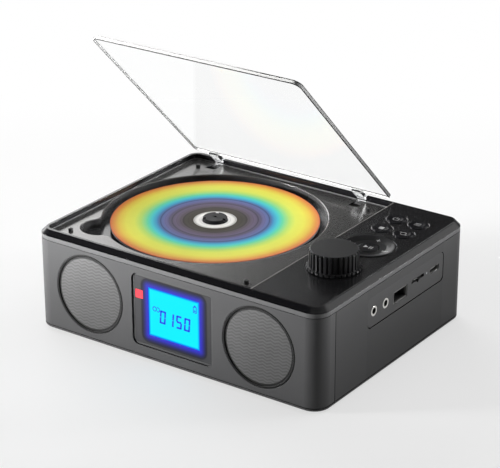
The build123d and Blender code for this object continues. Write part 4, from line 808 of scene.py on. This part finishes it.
def camera():
    """The camera that took the photograph."""
    forward = Vector((-sin(CAMERA_YAW) * cos(CAMERA_PITCH), cos(CAMERA_YAW) * cos(CAMERA_PITCH),
                      -sin(CAMERA_PITCH)))
    level = Vector((cos(CAMERA_YAW), sin(CAMERA_YAW), 0.0))
    upward = level.cross(forward)
    right = level * cos(CAMERA_ROLL) + upward * sin(CAMERA_ROLL)
    up = upward * cos(CAMERA_ROLL) - level * sin(CAMERA_ROLL)
    data = bpy.data.cameras.new("camera")
    data.lens = CAMERA_LENS
    data.sensor_width = CAMERA_SENSOR
    data.sensor_fit = "HORIZONTAL"
    data.clip_start = 0.01
    made = bpy.data.objects.new("camera", data)
    turn = Matrix((right, up, -forward)).transposed()
    made.matrix_world = Matrix.Translation(CAMERA_PLACE) @ turn.to_4x4()
    bpy.context.scene.collection.objects.link(made)
    bpy.context.scene.camera = made


def lamp(name, place, target, width, height, power, spread):
    """A softbox that faces a point, with a grid that keeps its light within a spread in degrees."""
    data = bpy.data.lights.new(name, "AREA")
    data.shape = "RECTANGLE"
    data.size = width
    data.size_y = height
    data.energy = power
    data.spread = radians(spread)
    made = bpy.data.objects.new(name, data)
    made.location = place
    made.rotation_euler = (Vector(target) - Vector(place)).to_track_quat("-Z", "Y").to_euler()
    bpy.context.scene.collection.objects.link(made)


# The sky's light, near the horizon, low and overhead, and the sine of the height where each gives way
HORIZON_LIGHT = 0.06
LOW_SKY_LIGHT = 0.30
HIGH_SKY_LIGHT = 0.56
LOW_SKY = (0.10, 0.35)
HIGH_SKY = (0.35, 0.95)

# Patches of the surroundings: the way to each, the angles between which it fades, and the share of light left
DARK_PATCHES = (
    ((0.55, -0.75, 0.25), 25.0, 75.0, 0.25),
    ((-0.53, -0.40, 0.75), 14.0, 32.0, 0.03),
    ((-0.392, 0.840, 0.375), 10.0, 20.0, 0.10),
)
# Brighter patches, low back left and back right, with the light that each adds
BRIGHT_PATCHES = (
    ((-0.853, 0.492, 0.174), 22.8, 26.0, 3.9),
    ((0.45, 0.78, 0.50), 8.0, 26.0, 1.4),
)


def spot(tree, direction, towards, inner, outer):
    """A soft round patch of the surroundings, between two angles from its middle."""
    facing = dot(tree, direction, Vector(towards).normalized())
    return between(tree, facing, cos(radians(outer)), cos(radians(inner)))


def surroundings():
    """A dim studio that is brighter overhead, with its dark and bright patches."""
    world = bpy.data.worlds.new("studio")
    world.use_nodes = True
    bpy.context.scene.world = world
    tree = world.node_tree
    direction = tree.nodes.new("ShaderNodeTexCoord").outputs["Generated"]
    height = parts(tree, direction)[2]
    low_light = scaled(tree, between(tree, height, *LOW_SKY), HORIZON_LIGHT, LOW_SKY_LIGHT)
    level = calc(tree, "MULTIPLY_ADD", between(tree, height, *HIGH_SKY), HIGH_SKY_LIGHT, low_light)
    for towards, inner, outer, left in DARK_PATCHES:
        level = product(tree, level, scaled(tree, spot(tree, direction, towards, inner, outer), 1.0, left))
    for towards, inner, outer, strength in BRIGHT_PATCHES:
        level = calc(tree, "MULTIPLY_ADD", spot(tree, direction, towards, inner, outer), strength, level)
    fill(tree, tree.nodes["Background"], Color=(1, 1, 1, 1), Strength=level)


# The floor: half its side, the camera's way across it, where it starts and ends to fade to white along that
# way and outward, how much of it is plain white near the player, and how much of that a mirror sees
FLOOR_HALF = 6.0
VIEW_WAY = (-0.53, 0.75)
FADE_ALONG = (0.0, 0.35)
FADE_OUTWARD = (0.32, 0.75)
NEAR_WHITE = 0.58
MIRRORED_WHITE = 0.5


def floor():
    """A pale floor that fades to white behind the player and far from it, and keeps its shadow."""
    mesh = bpy.data.meshes.new("floor")
    corners = [(x * FLOOR_HALF, y * FLOOR_HALF, 0) for x, y in ((-1, -1), (1, -1), (1, 1), (-1, 1))]
    mesh.from_pydata(corners, [], [(0, 1, 2, 3)])
    made = bpy.data.objects.new("floor", mesh)
    bpy.context.scene.collection.objects.link(made)
    paper, tree, shader = new_material("floor_paper")
    where, x, y, _ = places(tree)
    white = blend_colour(tree, noise(tree, where, 3.0), (0.86, 0.86, 0.86, 1), (0.88, 0.88, 0.877, 1))
    fill(tree, shader, Base_Color=white, Roughness=0.7, Specular_IOR_Level=0.1)
    path = tree.nodes.new("ShaderNodeLightPath")
    mirrored = product(tree, path.outputs["Is Glossy Ray"], MIRRORED_WHITE)
    seen = either(tree, path.outputs["Is Camera Ray"], mirrored, path.outputs["Is Transmission Ray"])
    depth = calc(tree, "MULTIPLY_ADD", x, VIEW_WAY[0], product(tree, y, VIEW_WAY[1]))
    fade = either(tree, between(tree, depth, *FADE_ALONG), between(tree, diagonal(tree, x, y), *FADE_OUTWARD))
    mixed = tree.nodes.new("ShaderNodeMixShader")
    tree.links.new(product(tree, scaled(tree, fade, NEAR_WHITE, 1.0), seen), mixed.inputs[0])
    tree.links.new(shader.outputs[0], mixed.inputs[1])
    tree.links.new(new_node(tree, "ShaderNodeEmission", Strength=1.0).outputs[0], mixed.inputs[2])
    tree.links.new(mixed.outputs[0], tree.nodes["Material Output"].inputs["Surface"])
    made.data.materials.append(paper)


camera()
surroundings()
floor()
lamp("left_softbox", place=(-0.63, -0.4175, 0.12), target=(0.12, 0.2425, 0.12), width=0.42, height=0.16,
     power=2.2, spread=28.0)
lamp("right_softbox", place=(0.55, 0.55, 0.21), target=(0.0, 0.0, 0.21), width=0.60, height=0.20,
     power=2.9, spread=24.0)

bpy.context.scene.view_settings.view_transform = "Standard"
